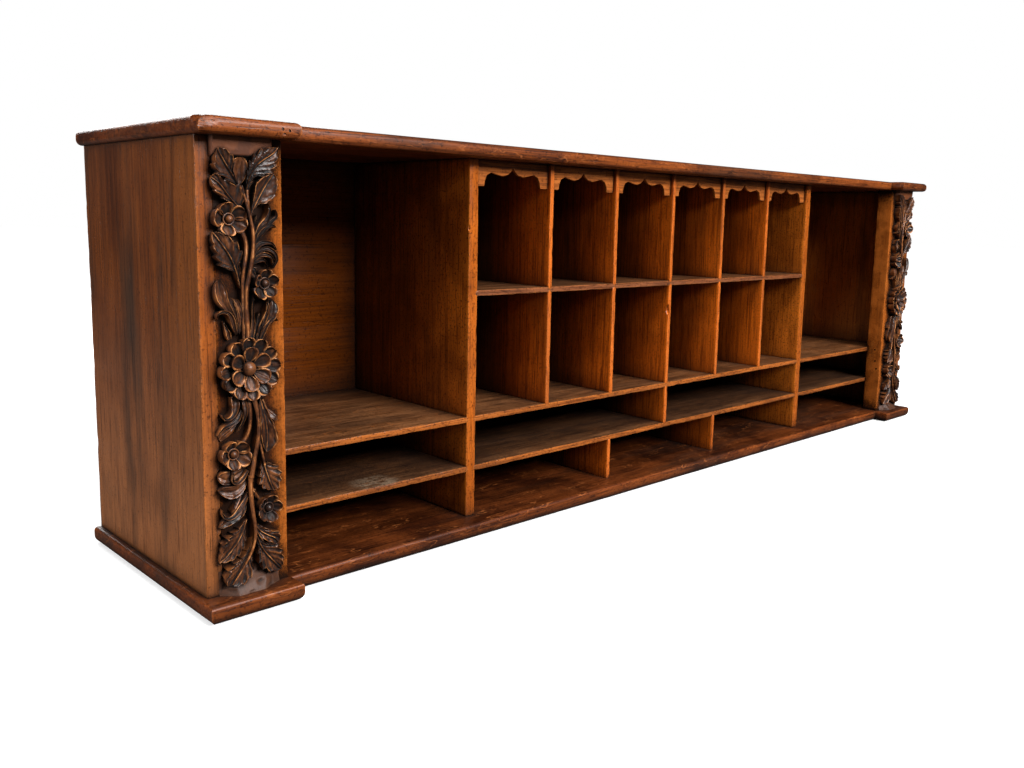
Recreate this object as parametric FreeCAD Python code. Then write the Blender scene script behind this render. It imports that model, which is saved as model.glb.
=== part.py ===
import FreeCAD, Part
import math
import os

os.makedirs("parts", exist_ok=True)
Vec = FreeCAD.Vector

# Driving dimensions in millimetres. X runs along the case, Y from front (-) to back (+), Z up from the floor.
case_length = 1700.0        # over the two side panels
inner_height = 500.0        # top of the base board to underside of the top board
base_thickness = 22.0
top_thickness = 18.0
end_overhang = 9.0          # base and top past each side panel
block_reach = 61.0          # corner blocks ahead of the shelf fronts
centre_reach = 33.0         # middle of the base and top ahead of the shelf fronts
base_block_overlap = 6.0    # corner block past the inner edge of its pilaster
top_block_overlap = 10.0
base_upper_round = 5.0      # roundings of the base and top boards' front and end edges
base_lower_round = 11.0
top_round = 7.0
side_thickness = 18.0
pilaster_width = 98.0       # over the side panel's edge and the pilaster board together
pilaster_depth = 32.0
side_back = 288.0           # back edges of sides, base and top behind the shelf fronts
back_thickness = 10.0
back_board_count = 4
bay_opening = 299.0         # clear width seen between pilaster and tall divider
divider_thickness = 16.0    # the two tall dividers
thin_thickness = 8.0        # shelves and small dividers
column_count = 6
vee_depth = 3.0             # pointed ends of thin boards, let into vee grooves
housing_depth = 6.0         # tall dividers and side panels let into base and top
housing_stop = 14.0         # housings stop this far behind the front edges
tongue_thickness = 8.0
pigeonhole_floor_under = 136.0   # undersides above the base board's top
slot_shelf_under = 65.0
mid_shelf_under = 313.0
valance_height = 35.0
valance_thickness = 5.0
valance_recess = 6.0        # valance face behind the shelf fronts
valance_gap = 1.0           # shrinkage gap above a valance
carving_width = 69.0
carving_margin = 14.0       # plain margin between the outer arris and the carving
carving_relief = 16.0       # full relief, at the carving's top and foot
leaf_spread = 4.0           # how far a leaf may pass the carving's sides
petal_relief = 11.0
daisy_relief = 13.5         # inner ring of the large flower
stem_width = 6.0
board_lap = 8.0             # half laps between the back boards
screw_head_radius = 4.5
screw_head_length = 3.0
screw_radius = 2.25
screw_grip = 32.0           # length of a screw inside the upright it holds
plug_radius = 6.0
plug_depth = 5.0
nail_head_radius = 2.2
nail_head_length = 0.8
nail_radius = 0.9
nail_length = 26.0

overall_depth = block_reach + side_back
shelf_front = block_reach - overall_depth / 2
half_length = case_length / 2
floor_top = base_thickness
ceiling = floor_top + inner_height
side_front = shelf_front - pilaster_depth
side_rear = shelf_front + side_back
back_face = side_rear - back_thickness
tall_left = -half_length + pilaster_width + bay_opening
tall_right = -tall_left - divider_thickness
centre_left = tall_left + divider_thickness
centre_width = tall_right - centre_left
column_width = (centre_width - (column_count - 1) * thin_thickness) / column_count
column_pitch = column_width + thin_thickness


def block(x0, x1, y0, y1, z0, z1):
    return Part.makeBox(x1 - x0, y1 - y0, z1 - z0, Vec(x0, y0, z0))


def prism(points, direction):
    """Closed polygon, swept along a vector."""
    face = Part.Face(Part.makePolygon([Vec(*p) for p in points] + [Vec(*points[0])]))
    return face.extrude(direction)


def breakfront_slab(z0, z1, overlap, upper_round, lower_round):
    """Board with forward corner blocks; front and end edges are rounded, the back is square."""
    outer = half_length + end_overhang
    inner = half_length - pilaster_width - overlap
    back = side_rear
    block_front = shelf_front - block_reach
    centre_front = shelf_front - centre_reach
    outline = [
        (-outer, back, z0), (-outer, block_front, z0), (-inner, block_front, z0),
        (-inner, centre_front, z0), (inner, centre_front, z0), (inner, block_front, z0),
        (outer, block_front, z0), (outer, back, z0),
    ]
    slab = prism(outline, Vec(0, 0, z1 - z0))

    def rim(level):
        found = []
        for edge in slab.Edges:
            middle = edge.CenterOfMass
            if abs(middle.z - level) < 0.01 and edge.BoundBox.ZLength < 0.01 and middle.y < back - 1:
                found.append(edge)
        return found

    slab = slab.makeFillet(upper_round, rim(z1))
    return slab.makeFillet(lower_round, rim(z0))


def vee_shelf(x0, x1, under):
    """Thin shelf whose two ends are pointed for vee grooves."""
    z0 = floor_top + under
    z1 = z0 + thin_thickness
    middle = (z0 + z1) / 2
    outline = [
        (x0, shelf_front, z0), (x1, shelf_front, z0), (x1 + vee_depth, shelf_front, middle),
        (x1, shelf_front, z1), (x0, shelf_front, z1), (x0 - vee_depth, shelf_front, middle),
    ]
    return prism(outline, Vec(0, back_face - shelf_front, 0))


def vee_divider(x0, z0, z1):
    """Thin upright whose two ends are pointed for vee grooves."""
    x1 = x0 + thin_thickness
    middle = (x0 + x1) / 2
    outline = [
        (x0, shelf_front, z0), (middle, shelf_front, z0 - vee_depth), (x1, shelf_front, z0),
        (x1, shelf_front, z1), (middle, shelf_front, z1 + vee_depth), (x0, shelf_front, z1),
    ]
    return prism(outline, Vec(0, back_face - shelf_front, 0))


def tall_divider(x0):
    """Full-height divider, let into stopped housings in the base and top boards."""
    x1 = x0 + divider_thickness
    body = block(x0, x1, shelf_front, back_face, floor_top, ceiling)
    low = block(x0, x1, shelf_front + housing_stop, back_face, floor_top - housing_depth, floor_top)
    high = block(x0, x1, shelf_front + housing_stop, back_face, ceiling, ceiling + housing_depth)
    return body.fuse([low, high]).removeSplitter()


def side_panel(x0):
    """Side panel with a stopped tongue at each end and a rebate for the back boards."""
    x1 = x0 + side_thickness
    inward = 1 if x0 < 0 else -1
    inner_face = x1 if inward > 0 else x0
    tongue0 = (x0 + x1 - tongue_thickness) / 2
    tongue1 = tongue0 + tongue_thickness
    body = block(x0, x1, side_front, side_rear, floor_top, ceiling)
    low = block(tongue0, tongue1, side_front + housing_stop, back_face, floor_top - housing_depth, floor_top)
    high = block(tongue0, tongue1, side_front + housing_stop, back_face, ceiling, ceiling + housing_depth)
    rebate_bottom = inner_face - inward * side_thickness / 2
    rebate = block(min(inner_face, rebate_bottom), max(inner_face, rebate_bottom),
                   back_face, side_rear, floor_top, ceiling)
    return body.fuse([low, high]).removeSplitter().cut(rebate)


def back_board(index):
    """One horizontal back board; neighbours overlap in half laps."""
    pitch = inner_height / back_board_count
    z0 = floor_top + index * pitch
    z1 = z0 + pitch
    rear_low = z0 if index == 0 else z0 - board_lap
    rear_high = z1 if index == back_board_count - 1 else z1 - board_lap
    step = back_face + back_thickness / 2
    x0 = -half_length + side_thickness / 2
    outline = [
        (x0, back_face, z0), (x0, step, z0), (x0, step, rear_low), (x0, side_rear, rear_low),
        (x0, side_rear, rear_high), (x0, step, rear_high), (x0, step, z1), (x0, back_face, z1),
    ]
    corners = []
    for point in outline:
        if not corners or (Vec(*point) - Vec(*corners[-1])).Length > 0.01:
            corners.append(point)
    return prism(corners, Vec(-2 * x0, 0, 0))


def valance(column):
    """Cusped ogee valance that fills the head of one column."""
    centre = centre_left + column * column_pitch + column_width / 2
    y = shelf_front + valance_recess
    top = ceiling - valance_gap
    foot = top - valance_height
    half = column_width / 2
    # rise of the arch above the foot, from the foot's inner corner to the cusp
    arch = [(54.0, 0.0), (53.0, 8.0), (49.5, 15.0), (41.0, 19.2), (30.0, 16.6), (20.0, 14.8),
            (10.0, 17.2), (4.0, 21.5), (0.0, 27.0)]
    right = [Vec(centre + x, y, foot + z) for x, z in arch]
    left = [Vec(centre - x, y, foot + z) for x, z in reversed(arch)]
    right_curve = Part.BSplineCurve()
    right_curve.interpolate(right)
    left_curve = Part.BSplineCurve()
    left_curve.interpolate(left)
    corners = [left[-1], Vec(centre - half, y, foot), Vec(centre - half, y, top),
               Vec(centre + half, y, top), Vec(centre + half, y, foot), right[0]]
    edges = [Part.LineSegment(a, b).toShape() for a, b in zip(corners, corners[1:])]
    wire = Part.Wire(edges + [right_curve.toShape(), left_curve.toShape()])
    return Part.Face(wire).extrude(Vec(0, valance_thickness, 0))


# Carving: raised forms on a flat ground. x is from the case's outer face, z from the base board's top,
# both for the left pilaster; the right one is its mirror image.

def on_ground(x, z):
    return Vec(-half_length + x, side_front, floor_top + z)


def raised(face, height):
    return face.extrude(Vec(0, -height, 0))


def leaf(base, tip, width, height):
    """Pointed leaf between two arcs."""
    start = on_ground(*base)
    end = on_ground(*tip)
    along = end - start
    across = Vec(-along.z, 0, along.x).normalize() * (width / 2)
    middle = start + along * 0.5
    one = Part.Arc(start, middle + across, end).toShape()
    other = Part.Arc(end, middle - across, start).toShape()
    return raised(Part.Face(Part.Wire([one, other])), height)


def stem(points, width, height):
    """Flat ribbon of even width that follows a smooth line."""
    line = Part.BSplineCurve()
    line.interpolate([on_ground(x, z) for x, z in points])
    edges = []
    for side in (1, -1):
        offset = []
        steps = 2 * len(points)
        for k in range(steps + 1):
            t = line.FirstParameter + (line.LastParameter - line.FirstParameter) * k / steps
            run = line.tangent(t)[0]
            offset.append(line.value(t) + Vec(-run.z, 0, run.x) * (side * width / 2))
        curve = Part.BSplineCurve()
        curve.interpolate(offset)
        edges.append((curve.toShape(), offset[0], offset[-1]))
    first = Part.LineSegment(edges[0][1], edges[1][1]).toShape()
    last = Part.LineSegment(edges[0][2], edges[1][2]).toShape()
    wire = Part.Wire(Part.__sortEdges__([edges[0][0], last, edges[1][0], first]))
    return raised(Part.Face(wire), height)


def petal_disc(centre, petals, reach, notch, height, turn):
    """Solid disc with a lobed rim, one lobe for each petal."""
    rim = []
    steps = 4 * petals
    for k in range(steps):
        angle = math.radians(turn) + 2 * math.pi * k / steps
        radius = reach - notch * (1 - math.cos(2 * math.pi * k / 4)) / 2
        rim.append(on_ground(centre[0] + radius * math.cos(angle), centre[1] + radius * math.sin(angle)))
    line = Part.BSplineCurve()
    line.interpolate(Points=rim, PeriodicFlag=True)
    return raised(Part.Face(Part.Wire(line.toShape())), height)


def eye(centre, radius, height):
    """Domed middle of a flower, with its top at the given height."""
    return Part.makeSphere(radius, on_ground(*centre) + Vec(0, radius - height, 0))


def blossom(centre, radius):
    """Five-petalled flower with a domed eye."""
    disc = petal_disc(centre, 5, radius, radius * 0.3, petal_relief, 18.0)
    return [disc, eye(centre, radius * 0.34, petal_relief + 2.0)]


def daisy(centre):
    """Large flower: two rings of petals and a domed eye."""
    reach = carving_width / 2 - 0.5
    outer = petal_disc(centre, 12, reach, 4.5, petal_relief, 15.0)
    inner = petal_disc(centre, 6, reach * 0.62, 4.5, daisy_relief, 30.0)
    return [outer, inner, eye(centre, reach * 0.25, carving_relief - 0.5)]


def end_wedges():
    """Uncut wood at the carving's top and foot, sloping down to the ground."""
    x0 = -half_length + carving_margin
    foot_rise = 22.0
    head_drop = 18.0
    crest = side_front - carving_relief
    waist = side_front - carving_relief / 2
    foot = [(x0, side_front, floor_top), (x0, crest, floor_top),
            (x0, waist, floor_top + foot_rise / 2), (x0, side_front, floor_top + foot_rise)]
    head = [(x0, side_front, ceiling), (x0, crest, ceiling),
            (x0, waist, ceiling - head_drop), (x0, side_front, ceiling - head_drop)]
    return [prism(foot, Vec(carving_width, 0, 0)), prism(head, Vec(carving_width, 0, 0))]


def carving():
    forms = end_wedges()
    # base, tip, width, relief
    leaves = [
        ((48, 444), (20, 487), 22, 11), ((47, 452), (47, 480), 20, 7), ((52, 442), (86, 491), 22, 12),
        ((57, 420), (82, 461), 22, 11), ((46, 430), (12, 457), 18, 10), ((46, 350), (13, 399), 24, 11),
        ((57, 395), (76, 428), 13, 9), ((57, 394), (84, 412), 11, 9), ((55, 378), (84, 384), 12, 9),
        ((33, 296), (19, 348), 17, 11), ((42, 296), (35, 330), 12, 9), ((35, 300), (16, 313), 9, 8),
        ((56, 282), (57, 332), 9, 8), ((61, 280), (75, 326), 12, 10), ((64, 280), (84, 318), 13, 10),
        ((43, 223), (14, 190), 15, 11), ((44, 214), (43, 176), 9, 7), ((63, 214), (72, 160), 19, 10),
        ((72, 200), (84, 192), 7, 8), ((46, 134), (15, 138), 14, 10), ((46, 126), (14, 121), 13, 10),
        ((48, 109), (15, 85), 16, 10), ((49, 90), (11, 41), 19, 10), ((46, 50), (20, 12), 22, 11),
        ((54, 68), (83, 52), 15, 9), ((55, 62), (83, 18), 20, 11), ((66, 144), (78, 111), 20, 9),
    ]
    for base, tip, width, height in leaves:
        forms.append(leaf(base, tip, width, height))
    main_stems = [
        [(47, 446), (54, 419), (57, 391), (52, 355), (48, 321), (50, 280)],
        [(55, 222), (60, 190), (55, 160), (48, 130), (50, 90), (52, 66), (44, 42), (30, 24)],
    ]
    side_stems = [
        [(45, 403), (50, 387), (46, 356), (44, 330), (45, 285)], [(60, 180), (63, 156), (68, 138)],
        [(54, 356), (63, 348), (70, 345)], [(48, 222), (50, 196), (47, 177), (34, 165)],
        [(49, 116), (57, 108), (66, 96)],
    ]
    for points in main_stems:
        forms.append(stem(points, stem_width, petal_relief - 1.0))
    for points in side_stems:
        forms.append(stem(points, stem_width * 0.7, petal_relief * 0.75))
    for centre, radius in (((32, 414), 17), ((72, 345), 15), ((31, 159), 16), ((71, 91), 15)):
        forms.extend(blossom(centre, radius))
    forms.extend(daisy((50, 252)))
    cut = forms[0].fuse(forms[1:]).removeSplitter()
    left_limit = -half_length + carving_margin - leaf_spread
    right_limit = -half_length + carving_margin + carving_width + leaf_spread
    limits = block(left_limit, right_limit,
                   side_front - carving_relief, side_front, floor_top, ceiling)
    return cut.common(limits)


def mirrored(shape):
    return shape.mirror(Vec(0, 0, 0), Vec(1, 0, 0))


def wood_screw(x, y, face, inward, head_face):
    """Countersunk screw along Z: conical head at head_face, straight shank into the upright beyond face."""
    along = Vec(0, 0, inward)
    start = Vec(x, y, head_face)
    head = Part.makeCone(screw_head_radius, screw_radius, screw_head_length, start, along)
    shank = Part.makeCylinder(screw_radius, abs(face - head_face) + screw_grip, start, along)
    return head.fuse(shank).removeSplitter()


def wire_nail(x, z):
    """Small flat-headed nail driven forward through a back board."""
    start = Vec(x, side_rear, z)
    head = Part.makeCylinder(nail_head_radius, nail_head_length, start, Vec(0, -1, 0))
    shank = Part.makeCylinder(nail_radius, nail_length, start, Vec(0, -1, 0))
    return head.fuse(shank).removeSplitter()


nodes = {}
nodes["base_board"] = breakfront_slab(0.0, base_thickness, base_block_overlap,
                                      base_upper_round, base_lower_round)
nodes["top_board"] = breakfront_slab(ceiling, ceiling + top_thickness, top_block_overlap,
                                     top_round, top_round)
nodes["left_side"] = side_panel(-half_length)
nodes["right_side"] = side_panel(half_length - side_thickness)
nodes["left_divider"] = tall_divider(tall_left)
nodes["right_divider"] = tall_divider(tall_right)
nodes["left_pilaster"] = block(-half_length + side_thickness, -half_length + pilaster_width,
                               side_front, shelf_front, floor_top, ceiling)
nodes["right_pilaster"] = mirrored(nodes["left_pilaster"])
nodes["left_carving"] = carving()
nodes["right_carving"] = mirrored(nodes["left_carving"])

bays = {
    "left": (-half_length + side_thickness, tall_left),
    "right": (tall_right + divider_thickness, half_length - side_thickness),
}
for bay, (x0, x1) in bays.items():
    nodes[bay + "_bay_upper_shelf"] = vee_shelf(x0, x1, pigeonhole_floor_under)
    nodes[bay + "_bay_lower_shelf"] = vee_shelf(x0, x1, slot_shelf_under)
nodes["pigeonhole_floor"] = vee_shelf(centre_left, tall_right, pigeonhole_floor_under)
nodes["slot_shelf"] = vee_shelf(centre_left, tall_right, slot_shelf_under)
nodes["mid_shelf"] = vee_shelf(centre_left, tall_right, mid_shelf_under)

pigeonhole_floor_top = floor_top + pigeonhole_floor_under + thin_thickness
slot_shelf_top = floor_top + slot_shelf_under + thin_thickness
mid_shelf_top = floor_top + mid_shelf_under + thin_thickness
upper_dividers = []
lower_dividers = []
for number in range(1, column_count):
    x0 = centre_left + number * column_pitch - thin_thickness
    upper = f"upper_divider_{number}"
    lower = f"lower_divider_{number}"
    nodes[upper] = vee_divider(x0, mid_shelf_top, ceiling)
    nodes[lower] = vee_divider(x0, pigeonhole_floor_top, floor_top + mid_shelf_under)
    upper_dividers.append(upper)
    lower_dividers.append(lower)
nodes["slot_divider"] = vee_divider(centre_left + 3 * column_pitch - thin_thickness,
                                    slot_shelf_top, floor_top + pigeonhole_floor_under)
bottom_dividers = []
for side, number in (("left", 2), ("right", 4)):
    name = side + "_bottom_divider"
    x0 = centre_left + number * column_pitch - thin_thickness
    nodes[name] = vee_divider(x0, floor_top, floor_top + slot_shelf_under)
    bottom_dividers.append(name)
for column in range(column_count):
    nodes[f"valance_{column + 1}"] = valance(column)
for index in range(back_board_count):
    nodes[f"back_board_{index + 1}"] = back_board(index)

# Fastenings. Screws go into the side panels, the tall dividers and the pilasters, from below and from above.
side_line = half_length - side_thickness / 2
divider_line = -tall_left - divider_thickness / 2
pilaster_line = half_length - (side_thickness + pilaster_width) / 2
front_row = shelf_front + 60.0
rear_row = shelf_front + 220.0
pilaster_row = shelf_front - pilaster_depth / 2
screw_places = []
for sign in (-1, 1):
    for line in (side_line, divider_line):
        for row in (front_row, rear_row):
            screw_places.append((sign * line, row))
    screw_places.append((sign * pilaster_line, pilaster_row))
plug_bottom = ceiling + top_thickness - plug_depth
base_screws = []
top_screws = []
top_plugs = []
for x, y in screw_places:
    base_screws.append(wood_screw(x, y, floor_top, 1, 0.0))
    top_screws.append(wood_screw(x, y, ceiling, -1, plug_bottom))
    top_plugs.append(Part.makeCylinder(plug_radius, plug_depth, Vec(x, y, plug_bottom)))
rebate_line = half_length - side_thickness * 3 / 4     # middle of a side panel's rebate
nails = []
for index in range(back_board_count):
    for share in (0.25, 0.75):
        z = floor_top + (index + share) * inner_height / back_board_count
        for x in (-rebate_line, -divider_line, divider_line, rebate_line):
            nails.append(wire_nail(x, z))

# Every board is cut by what is let into it, so each housing, vee groove and hole fits its piece.
centre_shelves = ["pigeonhole_floor", "slot_shelf", "mid_shelf"]
let_in = {
    "base_board": ["left_side", "right_side", "left_divider", "right_divider"] + bottom_dividers,
    "top_board": ["left_side", "right_side", "left_divider", "right_divider"] + upper_dividers,
    "left_side": ["left_bay_upper_shelf", "left_bay_lower_shelf"],
    "right_side": ["right_bay_upper_shelf", "right_bay_lower_shelf"],
    "left_divider": ["left_bay_upper_shelf", "left_bay_lower_shelf"] + centre_shelves,
    "right_divider": ["right_bay_upper_shelf", "right_bay_lower_shelf"] + centre_shelves,
    "mid_shelf": upper_dividers + lower_dividers,
    "pigeonhole_floor": lower_dividers + ["slot_divider"],
    "slot_shelf": ["slot_divider"] + bottom_dividers,
}
whole = dict(nodes)
for host, guests in let_in.items():
    nodes[host] = nodes[host].cut([whole[guest] for guest in guests])
screwed = ["left_side", "right_side", "left_divider", "right_divider", "left_pilaster", "right_pilaster"]
nodes["base_board"] = nodes["base_board"].cut(base_screws)
nodes["top_board"] = nodes["top_board"].cut(top_screws + top_plugs)
for name in screwed:
    nodes[name] = nodes[name].cut(base_screws + top_screws + nails)
for index in range(back_board_count):
    name = f"back_board_{index + 1}"
    nodes[name] = nodes[name].cut(nails)
nodes["base_screws"] = Part.makeCompound(base_screws)
nodes["top_screws"] = Part.makeCompound(top_screws)
nodes["top_plugs"] = Part.makeCompound(top_plugs)
nodes["back_nails"] = Part.makeCompound(nails)

for name, shape in nodes.items():
    if not shape.isValid():
        print("not valid:", name)
    shape.exportStep(f"parts/{name}.step")
print(len(nodes), "nodes,", sum(len(shape.Solids) for shape in nodes.values()), "solids")
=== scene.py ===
import bpy
import bmesh
import math
from mathutils import Matrix, Vector, noise


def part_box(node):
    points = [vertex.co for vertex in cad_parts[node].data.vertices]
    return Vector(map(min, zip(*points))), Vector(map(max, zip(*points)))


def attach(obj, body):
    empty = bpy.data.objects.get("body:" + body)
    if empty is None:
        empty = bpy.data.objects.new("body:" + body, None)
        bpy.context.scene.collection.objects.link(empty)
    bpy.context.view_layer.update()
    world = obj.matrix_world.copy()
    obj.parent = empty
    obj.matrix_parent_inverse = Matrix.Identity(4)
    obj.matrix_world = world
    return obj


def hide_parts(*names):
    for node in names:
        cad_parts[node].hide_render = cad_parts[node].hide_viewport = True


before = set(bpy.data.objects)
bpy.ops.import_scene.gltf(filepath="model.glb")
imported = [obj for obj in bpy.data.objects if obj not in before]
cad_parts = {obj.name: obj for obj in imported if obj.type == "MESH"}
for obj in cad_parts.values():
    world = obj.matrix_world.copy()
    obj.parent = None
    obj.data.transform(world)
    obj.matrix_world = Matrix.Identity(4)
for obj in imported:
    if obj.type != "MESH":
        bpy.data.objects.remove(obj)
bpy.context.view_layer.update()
noise.seed_set(7)      # noise_vector shifts with the seed, so it is fixed
print("frame loaded")

# Levels and faces that the pieces share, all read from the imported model.
pilasterLow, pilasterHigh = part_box("left_pilaster")
shelfLow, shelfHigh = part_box("mid_shelf")
sideLow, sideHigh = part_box("left_side")
case = {
    "floor": pilasterLow.z,
    "ceiling": pilasterHigh.z,
    "shelfFront": shelfLow.y,
    "ground": pilasterLow.y,          # face of the pilasters, where the carving stands
    "back": shelfHigh.y,
    "rear": sideHigh.y,
    "end": -sideLow.x,
    "vee": 0.003,
}


# Small helpers for working on one piece at a time.
def deselect():
    if bpy.context.mode != "OBJECT":
        bpy.ops.object.mode_set(mode="OBJECT")
    bpy.ops.object.select_all(action="DESELECT")


def named(name):
    piece = bpy.context.object
    piece.name = name
    piece.data.name = name
    return piece


def only(*pieces):
    deselect()
    for piece in pieces:
        piece.select_set(True)
    bpy.context.view_layer.objects.active = pieces[0]


def edit(kind="FACE"):
    bpy.ops.object.mode_set(mode="EDIT")
    bpy.ops.mesh.select_mode(type=kind)
    bpy.ops.mesh.select_all(action="DESELECT")


def pick(test, kind="FACE"):
    bpy.ops.mesh.select_mode(type=kind)
    bpy.ops.mesh.select_all(action="DESELECT")
    mesh = bpy.context.edit_object.data
    form = bmesh.from_edit_mesh(mesh)
    for element in {"FACE": form.faces, "EDGE": form.edges, "VERT": form.verts}[kind]:
        if test(element):
            element.select_set(True)
    form.select_flush_mode()
    bmesh.update_edit_mesh(mesh)


def middle(edge):
    return (edge.verts[0].co + edge.verts[1].co) / 2


def runsAlong(edge, axis):
    run = edge.verts[1].co - edge.verts[0].co
    return run.length > 1e-7 and abs(run.normalized()[axis]) > 0.99


def done():
    bpy.ops.object.mode_set(mode="OBJECT")


def useModifier(piece, kind, settings):
    only(piece)
    modifier = piece.modifiers.new(kind.title(), kind)
    for key, value in settings.items():
        setattr(modifier, key, value)
    bpy.ops.object.modifier_apply(modifier=modifier.name)


def cubeBetween(name, low, high):
    deselect()
    low, high = Vector(low), Vector(high)
    bpy.ops.mesh.primitive_cube_add(size=1, location=(low + high) / 2, scale=high - low)
    bpy.ops.object.transform_apply(location=True, rotation=True, scale=True)
    return named(name)


def cutAcross(axis, spacing):
    # rings across the piece, so that it can be worked along its length
    mesh = bmesh.from_edit_mesh(bpy.context.edit_object.data)
    longest = max((e.calc_length() for e in mesh.edges if runsAlong(e, axis)), default=0)
    cuts = int(longest / spacing)
    if cuts > 0:
        pick(lambda e: runsAlong(e, axis) and e.calc_length() > longest * 0.9, "EDGE")
        bpy.ops.mesh.subdivide(number_cuts=cuts)


wear = {"uneven": 0.0003, "unevenSize": 0.09, "arrisWidth": 0.0013, "knockSize": 0.013, "knockFrom": 0.08}


def handWork(piece, low, high, along, bruise):
    # slow unevenness of hand-planed wood and knocks along the arrises, kept inside the board's own box
    for vertex in piece.data.vertices:
        near = [k for k in range(3)
                if k != along and min(vertex.co[k] - low[k], high[k] - vertex.co[k]) < wear["arrisWidth"]]
        if len(near) == 2:
            knock = max(0.0, noise.noise(vertex.co / wear["knockSize"]) - wear["knockFrom"]) * bruise
            for k in near:
                vertex.co[k] += knock if vertex.co[k] < (low[k] + high[k]) / 2 else -knock
        vertex.co += noise.noise_vector(vertex.co / wear["unevenSize"]) * wear["uneven"]
        for k in range(3):
            vertex.co[k] = min(max(vertex.co[k], low[k]), high[k])


def nick(piece, place, radius, push):
    # a small bruise or chip: points near the place are pushed in
    for vertex in piece.data.vertices:
        away = (vertex.co - Vector(place)).length / radius
        if away < 1:
            vertex.co += Vector(push) * (1 - away * away) ** 2


def refine(piece, place, radius):
    # finer faces around a place, twice over
    only(piece)
    edit()
    for _ in range(2):
        pick(lambda e: (middle(e) - Vector(place)).length < radius + e.calc_length() * 0.6
             and e.calc_length() > radius * 0.3, "EDGE")
        bpy.ops.mesh.subdivide(number_cuts=3)
    done()


def smoothByAngle(piece, angle=35):
    only(piece)
    bpy.ops.object.shade_smooth_by_angle(angle=math.radians(angle))


mergeWithin = 0.00001


def tidyFaces(piece):
    # many-sided faces are split in even triangles, slivers go
    only(piece)
    edit()
    bpy.ops.mesh.select_all(action="SELECT")
    bpy.ops.mesh.remove_doubles(threshold=mergeWithin)
    pick(lambda f: len(f.verts) > 4)
    bpy.ops.mesh.quads_convert_to_tris(ngon_method="BEAUTY")
    bpy.ops.mesh.select_all(action="SELECT")
    bpy.ops.mesh.dissolve_degenerate(threshold=mergeWithin)
    done()


def cutAway(piece, cutter, angle=35):
    useModifier(piece, "BOOLEAN", {"operation": "DIFFERENCE", "object": cutter, "solver": "EXACT"})
    bpy.data.objects.remove(cutter)
    tidyFaces(piece)
    smoothByAngle(piece, angle)


def chip(piece, place, size):
    # a splinter gone from an arris
    deselect()
    bpy.ops.mesh.primitive_ico_sphere_add(subdivisions=2, radius=1, location=place, scale=size)
    bpy.ops.object.transform_apply(location=True, rotation=True, scale=True)
    cutter = bpy.context.object
    for vertex in cutter.data.vertices:
        vertex.co += noise.noise_vector(vertex.co / 0.004) * size[0] * 0.5      # ragged, every 4 mm
    cutAway(piece, cutter)


def bore(piece, place, radius, depth, axis):
    # blind hole, as an old nail leaves
    deselect()
    turned = {0: (0, math.pi / 2, 0), 1: (math.pi / 2, 0, 0), 2: (0, 0, 0)}[axis]
    bpy.ops.mesh.primitive_cylinder_add(vertices=12, radius=radius, depth=depth * 2, location=place,
                                        rotation=turned)
    bpy.ops.object.transform_apply(location=True, rotation=True, scale=True)
    cutAway(piece, bpy.context.object)


def score(piece, start, end, width, depth):
    # a crack or cut: a thin bar is taken out between two points
    start, end = Vector(start), Vector(end)
    deselect()
    run = end - start
    bpy.ops.mesh.primitive_cube_add(size=1, location=(start + end) / 2, scale=(width, depth * 2, run.length),
                                    rotation=run.to_track_quat("Z", "Y").to_euler())
    bpy.ops.object.transform_apply(location=True, rotation=True, scale=True)
    cutAway(piece, bpy.context.object, 40)


def rebate(piece, low, high):
    # the cutter runs a little past the faces it opens
    cutAway(piece, cubeBetween("rebateCutter", low, high))


def finishOff(piece, material, node):
    piece.data.materials.clear()
    piece.data.materials.append(material)
    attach(piece, "root")
    if node:
        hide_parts(node)
    return piece


# Sockets as values, so that masks and tones are written as sums.
class Wire:
    def __init__(self, finish, socket):
        self.finish = finish
        self.socket = socket

    def maths(self, operation, a, b):
        return self.finish.add("Math", {"operation": operation}, {0: a, 1: b})

    def __add__(self, other):
        return self.maths("ADD", self, other)

    __radd__ = __add__

    def __sub__(self, other):
        return self.maths("SUBTRACT", self, other)

    def __rsub__(self, other):
        return self.maths("SUBTRACT", other, self)

    def __mul__(self, other):
        return self.maths("MULTIPLY", self, other)

    __rmul__ = __mul__


class Finish:
    def __init__(self, name):
        self.material = bpy.data.materials.new(name)
        self.material.use_nodes = True
        self.tree = self.material.node_tree
        self.shader = self.tree.nodes["Principled BSDF"]

    def add(self, kind, settings, sockets, out=0):
        node = self.tree.nodes.new("ShaderNode" + kind)
        for key, value in settings.items():
            if key == "stops":
                ramp = node.color_ramp
                while len(ramp.elements) < len(value):
                    ramp.elements.new(0.5)
                for element, (place, colour) in zip(ramp.elements, value):
                    element.position = place
                    element.color = colour if len(colour) == 4 else (*colour, 1)
            else:
                setattr(node, key, value)
        for key, value in sockets.items():
            if isinstance(value, Wire):
                self.tree.links.new(value.socket, node.inputs[key])
            else:
                node.inputs[key].default_value = value
        return Wire(self, node.outputs[out])

    def blend(self, mode, factor, a, b):
        a = (*a, 1) if isinstance(a, tuple) else a
        b = (*b, 1) if isinstance(b, tuple) else b
        return self.add("Mix", {"data_type": "RGBA", "blend_type": mode}, {0: factor, 6: a, 7: b}, 2)

    def noise(self, place, scale, detail=2.0, rough=0.5):
        stretched = self.add("VectorMath", {"operation": "MULTIPLY"}, {0: place, 1: scale})
        return self.add("TexNoise", {},
                        {"Vector": stretched, "Scale": 1.0, "Detail": detail, "Roughness": rough})

    def part(self, vector, letter):
        return self.add("SeparateXYZ", {}, {0: vector}, letter)

    def between(self, value, low, high):
        return self.add("MapRange", {"interpolation_type": "SMOOTHSTEP"}, {0: value, 1: low, 2: high})

    def link(self, wire, name):
        self.tree.links.new(wire.socket, self.shader.inputs[name])


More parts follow.
